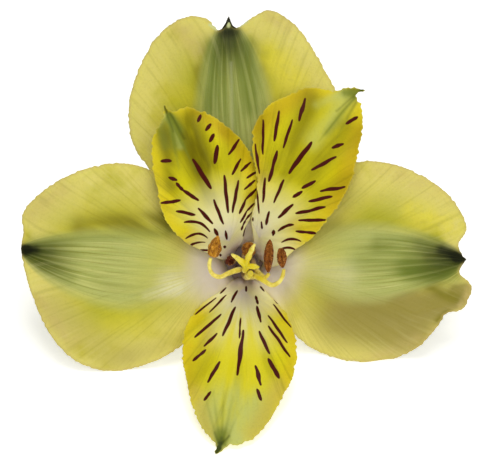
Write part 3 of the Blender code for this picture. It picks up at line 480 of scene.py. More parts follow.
innerLower = {
    "name": "tepalInnerLower", "node": "tepal_inner_lower", "claw": innerClaw, "seed": 57.0,
    "baseAngle": 270, "foot": (0.0, 0.0), "angle": 267.5, "tipBend": -2.6,
    "profile": [(6.4, -4.4), (10.0, -1.8), (16.0, 1.2), (23.0, 4.4), (30.0, 7.4), (36.0, 9.4)],
    "outline": [(-3.4, -4.2), (-8.2, -7.8), (-10.5, -11.6), (-11.0, -16.0), (-10.1, -21.5),
                (-8.7, -26.6), (-6.7, -30.2), (-4.9, -32.0), (-5.1, -33.9), (-4.0, -33.2),
                (-3.1, -32.3), (-0.8, -31.9), (1.4, -31.1), (4.0, -28.4), (6.8, -23.8), (9.1, -18.6),
                (9.3, -14.2), (8.0, -9.8), (3.4, -4.4)],
    "tip": 8, "cup": (-1.5, -1.5), "ruffle": (0.35, 7, 0.8),
    "golden": [(-10.4, -12.0, -9.8, -19.0, 1.2, 0.2), (9.2, -13.0, 8.0, -20.0, 1.2, 0.2)],
    "bright": [(-0.6, -11.6, -0.6, -20.0, 4.2, 1.0)],
    "green": [(-4.0, -30.2, -4.2, -32.2, 1.4, 0.45), (-6.8, -24.0, -4.6, -31.6, 0.3, 0.24),
              (-5.4, -23.0, -4.3, -31.6, 0.3, 0.24), (-3.6, -22.6, -4.0, -31.6, 0.3, 0.28),
              (-4.4, -26.6, -4.0, -31.0, 1.9, 0.22), (-2.0, -23.6, -3.8, -31.8, 0.3, 0.24),
              (-0.2, -25.4, -3.4, -32.0, 0.3, 0.22)],
    "pale": [(-2.4, -24.6, -3.0, -30.0, 4.6, 0.8), (2.6, -25.6, 0.6, -29.6, 3.4, 0.5),
             (-8.0, -26.0, -5.0, -31.0, 2.4, 0.5)],
    "khaki": [(6.0, -22.0, 1.6, -30.0, 2.2, 0.6), (-8.6, -23.0, -6.0, -31.0, 1.8, 0.6)],
    "dark": [(-5.2, -34.2, -4.5, -32.6, 0.5, 0.95), (-4.4, -32.6, -4.0, -30.8, 0.45, 0.6),
             (-4.0, -31.8, -2.6, -30.6, 0.3, 0.5), (-4.6, -31.6, -5.2, -30.0, 0.3, 0.4)],
    "folds": [(-4.6, -35.0, -1.0, -14.0, 0.9, -0.4), (-2.8, -33.0, 1.4, -18.0, 1.0, 0.3),
              (-6.2, -33.0, -5.2, -18.0, 1.2, 0.35)],
    "streaks": [
        (-0.1, -12.0, -1.2, -19.8, 0.5, 0), (-0.6, -9.8, -0.9, -13.4, 0.26, 0),
        (-1.2, -5.0, -2.3, -7.0, 0.3, 0), (-1.6, -7.9, -3.8, -12.9, 0.4, 0),
        (-3.2, -5.7, -6.2, -8.8, 0.26, 0), (-5.0, -6.1, -8.8, -9.1, 0.24, 0),
        (-3.2, -4.3, -4.3, -5.4, 0.22, 0), (-4.1, -4.1, -5.4, -4.8, 0.2, 0),
        (-4.1, -9.1, -8.8, -13.2, 0.34, 0), (-4.8, -12.5, -7.1, -14.8, 0.34, 0),
        (-6.8, -15.4, -9.1, -17.3, 0.36, 0), (-4.3, -17.5, -6.4, -21.2, 0.42, 0),
        (-5.9, -22.9, -7.1, -24.3, 0.38, 0), (0.4, -4.3, 0.4, -5.2, 0.28, 0),
        (2.9, -4.1, 3.6, -5.0, 0.22, 0), (2.1, -5.9, 2.5, -7.3, 0.32, 0), (2.3, -7.7, 3.0, -10.5, 0.36, 0),
        (5.0, -5.7, 6.1, -7.3, 0.18, 0), (5.2, -7.3, 8.4, -11.4, 0.26, 0), (4.3, -9.3, 7.7, -14.1, 0.32, 0),
        (4.3, -11.2, 8.2, -16.6, 0.34, 0), (2.7, -12.1, 4.5, -16.1, 0.4, 0),
        (4.3, -17.0, 6.2, -20.4, 0.5, 0), (2.0, -18.2, 3.0, -21.6, 0.44, 0),
        (2.3, -22.3, 3.0, -24.3, 0.4, 0),
    ],
}


block = 4000  # points that are measured at once, to spare memory


class Tepal:
    # One tepal as a bent sheet. along is the distance up its midrib from the base, across is to the side.
    def __init__(self, spec):
        self.spec = spec
        claw = spec["claw"]
        bladeAngle = math.radians(spec["angle"])
        baseAngle = math.radians(spec["baseAngle"])
        heading = np.array([math.cos(bladeAngle), math.sin(bladeAngle)])
        sideways = np.array([-heading[1], heading[0]])
        reach = spec["profile"][-1][0]
        stations = []
        turns = []
        for radius, depth, turn in zip(claw["radius"], claw["depth"], clawTurn):
            angle = baseAngle + turn * (bladeAngle - baseAngle)
            stations.append((radius * math.cos(angle), radius * math.sin(angle), depth))
            turns.append(angle)
        for distance, depth in spec["profile"]:
            bend = spec["tipBend"] * (distance / reach) ** blade["bendPower"]
            x, y = np.array(spec["foot"]) + distance * heading + bend * sideways
            stations.append((x, y, depth))
            turns.append(bladeAngle)
        self.midrib, marks = smoothCurve(stations, blade["stations"])
        self.run = np.linspace(0.0, marks[-1], blade["stations"])
        self.turn = np.interp(self.run, marks, turns)
        self.clawMarks = marks[:3]
        self.bladeStart = marks[3]
        distance = (self.midrib[:, :2] - spec["foot"]) @ heading
        inBlade = self.run >= self.clawMarks[2]
        edge = []
        for x, y in spec["outline"]:
            offset = np.array([x, y]) - spec["foot"]
            along = np.interp(offset @ heading, distance[inBlade], self.run[inBlade])
            bend = spec["tipBend"] * (offset @ heading / reach) ** blade["bendPower"]
            edge.append((along, offset @ sideways - bend))
        sides = list(zip(self.clawMarks, claw["halfWidth"]))
        start = [(along, -width) for along, width in sides]
        end = [(along, width) for along, width in reversed(sides)]
        self.edgePoints = start + edge + end
        self.tip = len(start) + spec["tip"]
        self.tipPlace = np.array(self.edgePoints[self.tip])
        self.halfWidths = (max(-q for _, q in edge), max(q for _, q in edge))
        self.centre = blade["centre"] * marks[-1]

    def edge(self, spacing, serration=0.0):
        # even points round the edge by way of the tip, with the margin's tiny uneven teeth
        halves = []
        for places in (self.edgePoints[:self.tip + 1], self.edgePoints[self.tip:]):
            length = smoothCurve(places, 2)[1][-1]
            halves.append(smoothCurve(places, max(8, round(length / spacing)))[0])
        line = np.concatenate([halves[0], halves[1][1:]])
        if serration:
            ahead = np.gradient(line, axis=0)
            ahead /= np.linalg.norm(ahead, axis=1)[:, None]
            out = np.stack([ahead[:, 1], -ahead[:, 0]], axis=1)
            run = spacing * np.arange(len(line))
            teeth = blade["wideTooth"] * ripple(blade["wideTeeth"] * run, 0 * run, self.spec["seed"])
            teeth += ripple(blade["fineTeeth"] * run, 0 * run, blade["teethSeed"])
            onBlade = ease((line[:, 0] - self.bladeStart) / blade["teethStart"])
            line = line + (serration * teeth * onBlade)[:, None] * out
        return line

    def middle(self, flat, margin):
        # face points of flat (along, across) places, halfway through the blade
        along, across = flat[:, 0], flat[:, 1]
        centre = np.stack([np.interp(along, self.run, self.midrib[:, i]) for i in range(3)], axis=1)
        turn = np.interp(along, self.run, self.turn)
        side = np.stack([-np.sin(turn), np.cos(turn), 0 * turn], axis=1)
        inward = np.stack([-np.cos(turn), -np.sin(turn), 0 * turn], axis=1)
        opened = ease((along - self.clawMarks[1]) / (self.bladeStart - self.clawMarks[1]))
        lift = (1 - opened)[:, None] * inward + opened[:, None] * np.array([0.0, 0.0, 1.0])
        gutter = across**2 / (2 * self.spec["claw"]["radius"][1]) * (1 - opened)
        clockwise, anticlockwise = self.spec["cup"]
        cup = np.where(across < 0, clockwise, anticlockwise)
        width = np.where(across < 0, *self.halfWidths)
        bowl = cup * (np.abs(across) / width) ** blade["cupPower"] * opened
        crease = -blade["creaseDepth"] * np.exp(-((across / blade["creaseWidth"]) ** 2)) * opened
        height, waves, phase = self.spec["ruffle"]
        reach = min(blade["ruffleReach"], 0.5 * min(self.halfWidths))
        gaps = nearest(flat, margin)
        roundCentre = np.arctan2(across, along - self.centre)
        ruffle = height * ease(1 - gaps / reach) * np.sin(waves * roundCentre + phase) * opened
        return centre + across[:, None] * side + (gutter + bowl + crease + ruffle)[:, None] * lift


def nearest(points, line):
    # distance from each point to the nearest of a line's points, a block of points at a time
    result = np.empty(len(points))
    for start in range(0, len(points), block):
        part = points[start:start + block]
        gaps = (part[:, None, 0] - line[None, :, 0]) ** 2 + (part[:, None, 1] - line[None, :, 1]) ** 2
        result[start:start + block] = np.sqrt(gaps.min(axis=1))
    return result


def inside(points, line):
    # which points lie inside a closed line
    result = np.zeros(len(points), bool)
    x0, y0 = line.T
    x1, y1 = np.roll(line, -1, axis=0).T
    slope = (x1 - x0) / np.where(y1 == y0, 1e-9, y1 - y0)
    for start in range(0, len(points), block):
        x, y = points[start:start + block].T[:, :, None]
        crosses = ((y0 > y) != (y1 > y)) & (x < slope * (y - y0) + x0)
        result[start:start + block] = crosses.sum(axis=1) % 2 == 1
    return result


def bladeTriangles(tepal, spacing):
    # the tepal laid flat: its margin, then an even triangle grid inside it
    inner = spacing < blade["spacing"]
    margin = tepal.edge(blade["edgeSpacing"], blade["innerSerration"] if inner else blade["serration"])
    low, high = margin.min(axis=0), margin.max(axis=0)
    rows = np.arange(0.5 * spacing, high[0], spacing * math.sqrt(3) / 2)
    columns = np.arange(low[1], high[1] + spacing, spacing)
    grid = np.concatenate([np.stack([np.full(len(columns), r), columns + 0.5 * spacing * (i % 2)], axis=1)
                           for i, r in enumerate(rows)])
    grid = grid[inside(grid, margin)]
    clear = blade["edgeClearance"] * min(spacing, blade["edgeSpacing"] * blade["edgeStretch"])
    grid = grid[nearest(grid, margin) > clear]
    places = [Vector(p) for p in np.concatenate([margin, grid])]
    # the 1 keeps only the triangles inside the margin
    found = delaunay_2d_cdt(places, [], [list(range(len(margin)))], 1, 1e-7)
    return np.array([tuple(v) for v in found[0]]), np.array(found[2]), margin


# How streaks and hood lines are drawn. A mark narrows to its ends, wavers and is a little uneven in width.
mark = {"reach": 2.5, "far": 2.0, "width": 0.8, "endWidth": 0.4, "endPower": 0.5, "waver": 0.07,
        "wavesPerMm": 0.5, "uneven": 0.22, "unevenWaves": 3.0}


def lineGap(places, x0, y0, x1, y1, bow=0.0, seed=0.0):
    # distance to a line on the face, bowed sideways by bow, and the share of the way along it
    start, end = np.array([x0, y0]), np.array([x1, y1])
    length = np.linalg.norm(end - start)
    ahead = (end - start) / length
    offset = places - start
    share = offset @ ahead / length
    off = offset @ np.array([-ahead[1], ahead[0]]) - 4 * bow * np.clip(share * (1 - share), 0, 1)
    if seed:
        off = off + mark["waver"] * ripple(mark["wavesPerMm"] * length * share, 0 * share, seed)
    past = np.maximum(np.maximum(-share, share - 1), 0) * length
    return np.hypot(off, past), np.clip(share, 0, 1)


def patchMask(places, patches):
    # soft patches along their lines, summed up to 1
    total = np.zeros(len(places))
    for x0, y0, x1, y1, reach, strength in patches:
        gap, _ = lineGap(places, x0, y0, x1, y1)
        total += strength * np.exp(-((gap / reach) ** 2))
    return np.clip(total, 0, 1)


def markGap(places, marks, seed=1.0):
    # signed distance to the nearest mark's edge, below 0 inside it
    gap = np.full(len(places), mark["far"])
    for number, (x0, y0, x1, y1, halfWidth, bow) in enumerate(marks):
        close = np.hypot(places[:, 0] - 0.5 * (x0 + x1), places[:, 1] - 0.5 * (y0 + y1))
        close = close < 0.5 * math.hypot(x1 - x0, y1 - y0) + mark["reach"]
        away, share = lineGap(places[close], x0, y0, x1, y1, bow, seed + number)
        swell = np.sin(math.pi * share) ** mark["endPower"]
        width = mark["width"] * halfWidth * (mark["endWidth"] + (1 - mark["endWidth"]) * swell)
        width *= 1 + mark["uneven"] * ripple(mark["unevenWaves"] * share, 0 * share, seed + 2 * number)
        gap[close] = np.minimum(gap[close], away - width)
    return gap


def layout(tepal, flat, margin, middle):
    # where each place lies: up the midrib, round the fan of veins, and in from the margin, tip and throat
    along, across = flat.T
    towardsTip = np.arctan2(across, tepal.tipPlace[0] + blade["fanPull"] - along)
    fan = np.arctan2(across, along - blade["fanFoot"] * tepal.bladeStart) + blade["veinBend"] * towardsTip
    return {"along": along, "fan": fan, "fanEdge": np.abs(fan), "edgeGap": nearest(flat, margin),
            "tipGap": np.linalg.norm(flat - tepal.tipPlace, axis=1),
            "throatGap": np.hypot(middle[:, 0], middle[:, 1])}


def relief(tepal, middle, values):
    # how far veins, wrinkles and folds lift the blade
    spec = tepal.spec
    along, fan, edgeGap = values["along"], values["fan"], values["edgeGap"]
    onBlade = ease((along - tepal.clawMarks[2]) / blade["reliefStart"])
    veins = ripple(fan * blade["veinsAcross"], along * blade["veinsAlong"], spec["seed"])
    wrinkles = ripple(fan * blade["wrinklesAcross"], along * blade["wrinklesAlong"],
                      spec["seed"] + blade["wrinkleSeed"])
    wrinkles *= ease(1 - edgeGap / blade["wrinkleReach"])
    lift = (blade["wrinkleHeight"] * wrinkles + blade["veinHeight"] * veins) * onBlade
    lift *= ease(edgeGap / blade["reliefEdge"])
    for x0, y0, x1, y1, reach, height in spec["folds"]:
        gap, share = lineGap(middle[:, :2], x0, y0, x1, y1)
        lift += height * np.exp(-((gap / reach) ** 2)) * ease(5 * share * (1 - share)) * onBlade
    return lift


def bothFaces(tepal, flat, coarse, middle, values):
    # the points of the tepal's front and back in the row's metres, none of them under the floor
    step = blade["probeStep"]
    alongStep = tepal.middle(flat + (step, 0), coarse) - tepal.middle(flat - (step, 0), coarse)
    acrossStep = tepal.middle(flat + (0, step), coarse) - tepal.middle(flat - (0, step), coarse)
    normal = np.cross(alongStep, acrossStep)
    normal /= np.linalg.norm(normal, axis=1)[:, None]
    taper = ease(values["edgeGap"] / blade["taperReach"])
    half = 0.5 * (blade["edgeThickness"] + (blade["thickness"] - blade["edgeThickness"]) * taper)
    half += blade["midribHeight"] * np.exp(-((flat[:, 1] / blade["midribWidth"]) ** 2)) * taper
    half += blade["tipHeight"] * ease(1 - values["tipGap"] / blade["tipReach"])
    lift = relief(tepal, middle, values)
    front = faceToRow(middle + (lift + half)[:, None] * normal)
    back = faceToRow(middle + (lift - half)[:, None] * normal)
    sink = np.maximum(blade["floorGap"] * mm - np.minimum(front[:, 2], back[:, 2]), 0)
    front[:, 2] += sink
    back[:, 2] += sink
    return front, back


def markings(tepal, flat, middle, outer):
    # patches of colour, and the outer tepals' green band and hood or the inner ones' streaks
    spec = tepal.spec
    places = middle[:, :2]
    names = ("olive", "khaki", "beige", "golden", "pale", "bright", "green", "dark", "hood")
    values = {name: patchMask(places, spec[name]) for name in names if name in spec}
    if not outer:
        values["depth"] = middle[:, 2]
        values["streak"] = markGap(places, spec["streaks"], spec["seed"])
        return values
    along, across = flat.T
    start = tepal.bladeStart
    bandRun = np.clip((along - start) / (tepal.tipPlace[0] - start), 0, 1)
    swell = np.maximum(np.sin(math.pi * bandRun ** blade["bandSkew"]), 0) ** blade["bandPower"]
    swell += blade["bandLeast"]
    band = (across - spec["bandShift"] * swell) / (spec["bandHalf"] * swell)
    values.update({"band": band, "bandEdge": np.abs(band), "bandRun": bandRun})
    values["hoodGap"] = markGap(places, spec.get("hoodLines", []))
    return values


def makeTepal(spec, material, slot):
    # a closed sheet: the front, the back turned over, and a strip round the margin
    tepal = Tepal(spec)
    outer = slot == "outer_tepal"
    flat, triangles, margin = bladeTriangles(tepal, blade["spacing"] if outer else blade["innerSpacing"])
    coarse = tepal.edge(blade["coarseEdge"])
    middle = tepal.middle(flat, coarse)
    values = layout(tepal, flat, margin, middle)
    front, back = bothFaces(tepal, flat, coarse, middle, values)
    count = len(flat)
    sides = {(a, b) for t in triangles.tolist() for a, b in zip(t, t[1:] + t[:1])}
    faces = triangles.tolist() + (triangles[:, ::-1] + count).tolist()
    faces += [(b, a, a + count, b + count) for a, b in sides if (b, a) not in sides]
    mesh = skinMesh(spec["name"], np.concatenate([front, back]), faces, material)
    values.update(markings(tepal, flat, middle, outer))
    storeValues(mesh, {name: np.tile(data, 2) for name, data in values.items()})
    storeValues(mesh, {"front": np.repeat([1.0, 0.0], count)})
    addPiece(spec["name"], mesh, slot, spec["node"])
    print(spec["name"], len(faces), "faces")


outerSurface = outerTepalSurface()
innerSurface = innerTepalSurface()
for spec in (outerTop, outerLeft, outerRight):
    makeTepal(spec, outerSurface, "outer_tepal")
for spec in (innerLeft, innerRight, innerLower):
    makeTepal(spec, innerSurface, "inner_tepal")


# Stamens, pistil and stalk, in the face's mm. A stem follows a line of points, with its radius, or girth, at
# even steps along it.

stamens = {
    "filamentRing": 1.55, "base": -16.9, "girths": (0.42, 0.46, 0.5, 0.46, 0.32), "joinGap": 0.3,
    "sides": 20, "spacing": 0.16, "lumpsPerMm": 1.1, "lumpSeed": 4.0,
    # deep is a painted shade that dulls the filaments down in the throat, round a point 12 mm deep
    "flesh": "#F0E070", "mottle": "#CFB83A", "heart": "#DCC80C", "deep": "#A98A5A", "mottleSize": 1.11,
    "heartPlace": (1.2, -0.9, 7.2), "throatShadeCentre": (0.0, 0.0, -12.0),
    # for each filament: its place round the style, its path, and its anther's way, length, width, thickness
    # and browning, with the swell of the anther's outline from foot to tip
    1: {"angle": 210, "path": [(-1.6, -1.2, -10.0), (-1.5, -1.3, -4.0), (-0.9, -1.0, 1.6), (-1.7, -1.2, 3.9),
                               (-3.0, -1.7, 5.2), (-4.3, -2.25, 6.4), (-5.4, -1.9, 7.2), (-6.05, -0.9, 7.9),
                               (-6.15, 0.15, 8.3), (-5.9, 1.1, 8.6)],
        "anther": ((0.33, 0.93, 0.1), 3.9, 2.3, 1.5, 0.0), "outline": (0.4, 0.95, 1.0, 0.85, 0.55, 0.12)},
    2: {"angle": 150, "path": [(-1.6, 0.7, -10.0), (-1.9, 0.4, -6.5), (-2.0, 0.4, -3.4)],
        "anther": ((-0.25, 0.15, 0.95), 3.2, 1.9, 1.3, 1.6), "outline": (0.4, 0.9, 1.0, 0.8, 0.3)},
    3: {"angle": 90, "path": [(0.0, 1.4, -10.0), (0.2, 1.0, -5.0), (0.5, 1.0, -1.0), (0.7, 1.3, 0.6)],
        "anther": ((0.1, 0.62, 0.78), 3.6, 2.5, 1.5, 0.6), "outline": (0.5, 0.9, 1.0, 0.85, 0.3)},
    4: {"angle": 30, "path": [(1.6, 0.4, -10.0), (2.0, -0.8, -4.0), (2.5, -1.4, 0.5), (3.2, -2.0, 3.0),
                              (3.9, -2.3, 4.5), (4.4, -1.75, 5.1)],
        "anther": ((0.02, 0.99, 0.12), 5.9, 1.7, 1.4, 0.8), "outline": (0.2, 0.75, 1.0, 1.0, 0.75, 0.1)},
    5: {"angle": 330, "path": [(1.4, -1.3, -10.0), (1.6, -2.2, -4.0), (1.75, -2.1, 1.0), (2.4, -2.3, 4.0),
                               (3.5, -2.9, 5.8), (5.1, -3.7, 7.0), (6.4, -2.95, 7.8), (6.95, -1.7, 8.2),
                               (7.05, -0.9, 8.4)],
        "girths": (0.45, 0.5, 0.5, 0.62, 0.7, 0.6, 0.5, 0.46, 0.4, 0.32),
        "anther": ((-0.18, 0.97, 0.1), 3.5, 1.7, 1.3, 0.8), "outline": (0.15, 0.7, 1.0, 1.0, 0.85, 0.4)},
    6: {"angle": 270, "path": [(0.0, -2.0, -10.0), (0.4, -2.3, -4.0), (0.8, -2.1, 1.0), (1.05, -1.85, 4.0),
                               (1.15, -1.6, 6.5)],
        "girths": (0.45, 0.5, 0.55, 0.72, 0.5), "anther": None},
}

# Papillae and pollen grains are drawn a few times as large as real ones, so that they show.
pistil = {
    "stylePath": [(0.0, 0.0, -16.9), (0.1, -0.5, -9.0), (0.1, -0.9, -4.0), (0.2, -1.1, 2.0),
                  (0.4, -0.35, 7.8)],
    "styleGirths": (0.5, 0.5, 0.52, 0.62), "stigmaGirths": (0.6, 0.56, 0.5, 0.42, 0.2),
    "stigmaPaths": [[(0.4, -0.4, 7.4), (-0.25, 0.3, 8.4), (-1.25, 1.15, 9.1), (-2.2, 1.75, 9.8)],
                    [(0.4, -0.4, 7.4), (0.5, 0.5, 8.4), (1.1, 2.0, 9.2), (1.9, 3.6, 9.7)],
                    [(0.4, -0.4, 7.4), (1.0, -0.35, 8.2), (1.8, -0.4, 8.8), (2.6, -0.5, 9.4)]],
    "stigmaRings": 30, "stigmaLumps": 0.2, "papillaSize": 0.07, "papillaDensity": 9.0, "papillaReach": 2.2,
    "papillaSeed": 9, "papilla": "#E9DD92", "papillaSpeckle": "#D9C84A",
}

# Each pollen sac is a round of sacRadius, sacOffset from the anther's middle, as shares of half its width.
anther = {
    "rings": 40, "sides": 44, "outlineSteps": 400, "sacOffset": 0.45, "sacRadius": 0.55, "slitAngle": 0.5,
    "slitWidth": 0.16, "slitDepth": 0.13, "twist": 0.12, "shrink": 0.1, "skinCover": 0.16, "endCover": 0.2,
    "pollenSize": 0.075, "pollenDensity": 16.0,
    "skin": "#BA8018", "golden": "#DDA03A", "shade": "#74400C", "tawny": "#7E4A10", "brown": "#6A2E06",
    "lightBrown": "#AC621C", "darkBrown": "#2E0E04", "maroon": "#4A1204", "slit": "#5A2406",
    "pollen": "#C88A34", "pollenSpeckle": "#8C5016", "mottleSize": 0.435, "shadeSize": 1.43,
    "speckleSize": 0.286,
}

stalk = {
    "ovaryTop": -17.45, "ovaryLength": 7.6, "ovaryGirths": (3.8, 3.95, 3.85, 3.5, 2.95, 2.25, 1.75),
    "ribs": 6, "ovaryRib": 0.09, "ovaryEndRib": 0.04, "ribTaper": 0.75, "girth": 1.4, "shoulder": 0.12,
    "cutGirth": 1.6, "stalkRib": 0.03, "run": 34.0, "bow": 4.5, "sides": 60, "spacing": 0.3,
    "ovaryRings": 25, "bendRings": 19, "runRings": 31,
    "skin": "#7FA33A", "furrow": "#4C7A22", "line": "#5F8A2C", "mottle": "#A7BE5A", "lowEnd": "#8A9A4E",
    "topEnd": "#6B4A50", "pith": "#DDE3A8", "pithMottle": "#B9C97A", "ring": "#7E9C3E", "throat": "#7A5C58",
    "linesRound": 60, "linesAlong": 9, "mottleSize": 3.33, "pithSize": 0.455,
}


def emptyTree(name, inputs):
    # a tree of Geometry Nodes with named inputs, and the outputs that bring them in
    tree = bpy.data.node_groups.new(name, "GeometryNodeTree")
    tree.interface.new_socket("Geometry", in_out="OUTPUT", socket_type="NodeSocketGeometry")
    for socket, kind in {"Geometry": "Geometry", **inputs}.items():
        tree.interface.new_socket(socket, in_out="INPUT", socket_type="NodeSocket" + kind)
    return tree, addNode(tree, "NodeGroupInput").outputs


def stemTree():
    # Geometry Nodes: a stem along every line, as thick as its girth and ribbed as deep as its rib
    tree, given = emptyTree("stemAlongLine", {"Spacing": "Float", "Sides": "Int", "Ribs": "Int",
                                              "Skin": "Material", "Cut": "Material"})
    girth, rib, turn = [addNode(tree, "GeometryNodeInputNamedAttribute", {"Name": name}, "Attribute",
                                data_type="FLOAT") for name in ("girth", "rib", "round")]
    line = addNode(tree, "GeometryNodeMeshToCurve", {"Mesh": given["Geometry"]}, "Curve")
    line = addNode(tree, "GeometryNodeResampleCurve", {"Curve": line, "Length": given["Spacing"]}, "Curve",
                   mode="LENGTH")
    ring = addNode(tree, "GeometryNodeCurvePrimitiveCircle", {"Resolution": given["Sides"], "Radius": 1.0},
                   "Curve")
    share = addNode(tree, "GeometryNodeSplineParameter", output="Factor")
    line, ring = [addNode(tree, "GeometryNodeStoreNamedAttribute", {
        "Geometry": curve, "Name": name, "Value": share}, "Geometry", data_type="FLOAT")
        for curve, name in ((line, "along"), (ring, "round"))]
    stem = addNode(tree, "GeometryNodeCurveToMesh", {
        "Curve": line, "Profile Curve": ring, "Scale": girth, "Fill Caps": True}, 0)
    # the ribs: girth times rib times the cosine of the turn round the stem times the number of ribs
    turns, deepest = [addNode(tree, "ShaderNodeMath", {0: a, 1: b}, 0, operation="MULTIPLY")
                      for a, b in ((turn, given["Ribs"]), (girth, rib))]
    angle = addNode(tree, "ShaderNodeMath", {0: turns, 1: 2 * math.pi}, 0, operation="MULTIPLY")
    wave = addNode(tree, "ShaderNodeMath", {0: angle}, 0, operation="COSINE")
    depth = addNode(tree, "ShaderNodeMath", {0: deepest, 1: wave}, 0, operation="MULTIPLY")
    stem = addNode(tree, "GeometryNodeStoreNamedAttribute", {
        "Geometry": stem, "Name": "wave", "Value": wave}, "Geometry", data_type="FLOAT")
    normal = addNode(tree, "GeometryNodeInputNormal", output="Normal")
    push = addNode(tree, "ShaderNodeVectorMath", {0: normal, "Scale": depth}, "Vector", operation="SCALE")
    stem = addNode(tree, "GeometryNodeSetPosition", {"Geometry": stem, "Offset": push}, 0)
    stem = addNode(tree, "GeometryNodeRealizeInstances", {"Geometry": stem}, 0)
    # only the two end caps have more than four corners
    corners = addNode(tree, "GeometryNodeInputMeshFaceNeighbors", output="Vertex Count")
    isCut = addNode(tree, "FunctionNodeCompare", {2: corners, 3: 4}, 0, data_type="INT",
                    operation="GREATER_THAN")
    stem = addNode(tree, "GeometryNodeSetMaterial", {"Geometry": stem, "Material": given["Skin"]}, 0)
    stem = addNode(tree, "GeometryNodeSetMaterial", {
        "Geometry": stem, "Selection": isCut, "Material": given["Cut"]}, 0)
    addNode(tree, "NodeGroupOutput", {"Geometry": stem})
    return tree


def grainTree():
    # Geometry Nodes: tiny round grains over the surface, thick where its cover is high
    tree, given = emptyTree("grainCover", {"Grain Size": "Float", "Density": "Float", "Seed": "Int",
                                           "Grain": "Material"})
    cover = addNode(tree, "GeometryNodeInputNamedAttribute", {"Name": "cover"}, "Attribute",
                    data_type="FLOAT")
    density = addNode(tree, "ShaderNodeMath", {0: cover, 1: given["Density"]}, 0, operation="MULTIPLY")
    scatter = addNode(tree, "GeometryNodeDistributePointsOnFaces", {
        "Mesh": given["Geometry"], "Density": density, "Seed": given["Seed"]})
    ball = addNode(tree, "GeometryNodeMeshIcoSphere", {"Radius": given["Grain Size"], "Subdivisions": 2},
                   "Mesh")
    # uneven grains, the smallest 0.6 and the largest 1.25 of their size
    size = addNode(tree, "FunctionNodeRandomValue", {2: 0.6, 3: 1.25, "Seed": given["Seed"]}, 1,
                   data_type="FLOAT")
    grains = addNode(tree, "GeometryNodeInstanceOnPoints", {
        "Points": scatter.outputs["Points"], "Instance": ball, "Rotation": scatter.outputs["Rotation"],
        "Scale": size}, "Instances")
    grains = addNode(tree, "GeometryNodeRealizeInstances", {"Geometry": grains}, 0)
    grains = addNode(tree, "GeometryNodeSetMaterial", {"Geometry": grains, "Material": given["Grain"]}, 0)
    both = addNode(tree, "GeometryNodeJoinGeometry")
    tree.links.new(grains, both.inputs[0])
    tree.links.new(given["Geometry"], both.inputs[0])
    addNode(tree, "NodeGroupOutput", {"Geometry": both.outputs[0]})
    return tree


def throughNodes(mesh, tree, values):
    # the plain mesh that comes out of a node tree; an input is set by its socket's identifier
    holder = inScene("holder", mesh)
    modifier = holder.modifiers.new("nodes", "NODES")
    modifier.node_group = tree
    for item in tree.interface.items_tree:
        if item.item_type == "SOCKET" and item.in_out == "INPUT" and item.name in values:
            modifier[item.identifier] = values[item.name]
    bpy.context.view_layer.update()
    made = bpy.data.meshes.new_from_object(holder.evaluated_get(bpy.context.evaluated_depsgraph_get()))
    bpy.data.objects.remove(holder)
    return made


def lineMesh(name, lines):
    # lines of (points in metres, girths in mm, ribs) as one mesh of edges
    mesh = bpy.data.meshes.new(name)
    points, edges, girths, ribs = [], [], [], []
    for path, girth, rib in lines:
        start = len(points)
        points += [tuple(p) for p in path]
        edges += [(start + i, start + i + 1) for i in range(len(path) - 1)]
        girths += list(girth)
        ribs += list(rib)
    mesh.from_pydata(points, edges, [])
    storeValues(mesh, {"girth": np.array(girths, np.float32) * mm, "rib": ribs})
    return mesh


def stemLine(path, girths, count=80, lumps=0.08):
    # a smooth, slightly lumpy line in row metres with its girths, and no ribs
    even, _ = smoothCurve(path, count)
    values = np.interp(np.linspace(0, len(girths) - 1, count), range(len(girths)), girths)
    x, y, z = even.T
    scale = stamens["lumpsPerMm"]
    values *= 1 + lumps * ripple(scale * x, scale * y + z, stamens["lumpSeed"])
    return faceToRow(even), values, np.zeros(count)


def filamentSurface():
    # Filament and style: fleshy, waxy, almost bare of texture; pale butter yellow that glows where thin,
    # deeper yellow round the clump of stigmas, and duller down in the throat, where the dulling is painted
    # shade.
    finish = {"Roughness": 0.36, "IOR": 1.4, "Subsurface Weight": 0.3, "Subsurface Radius": (1.0, 0.8, 0.3),
              "Subsurface Scale": 0.0006, "Specular IOR Level": 0.4}
    heart, deep = faceToRow([stamens["heartPlace"], stamens["throatShadeCentre"]])
    patterns = {"mottle": (stamens["mottleSize"], 3.0), "heart": tuple(heart), "deep": tuple(deep)}
    layers = [
        (stamens["mottle"], 0.8, ("mottle", 0.42, 0.66)),
        (stamens["heart"], 0.9, ("heart", 5.0 * mm, 2.2 * mm)),
        # painted shade: the filaments turn dull brown towards a point deep in the throat
        (stamens["deep"], 1.0, ("deep", 15.0 * mm, 9.0 * mm)),
    ]
    return paintedSurface("filamentFlesh", finish, stamens["flesh"], patterns, layers, ("mottle",), 0.1)


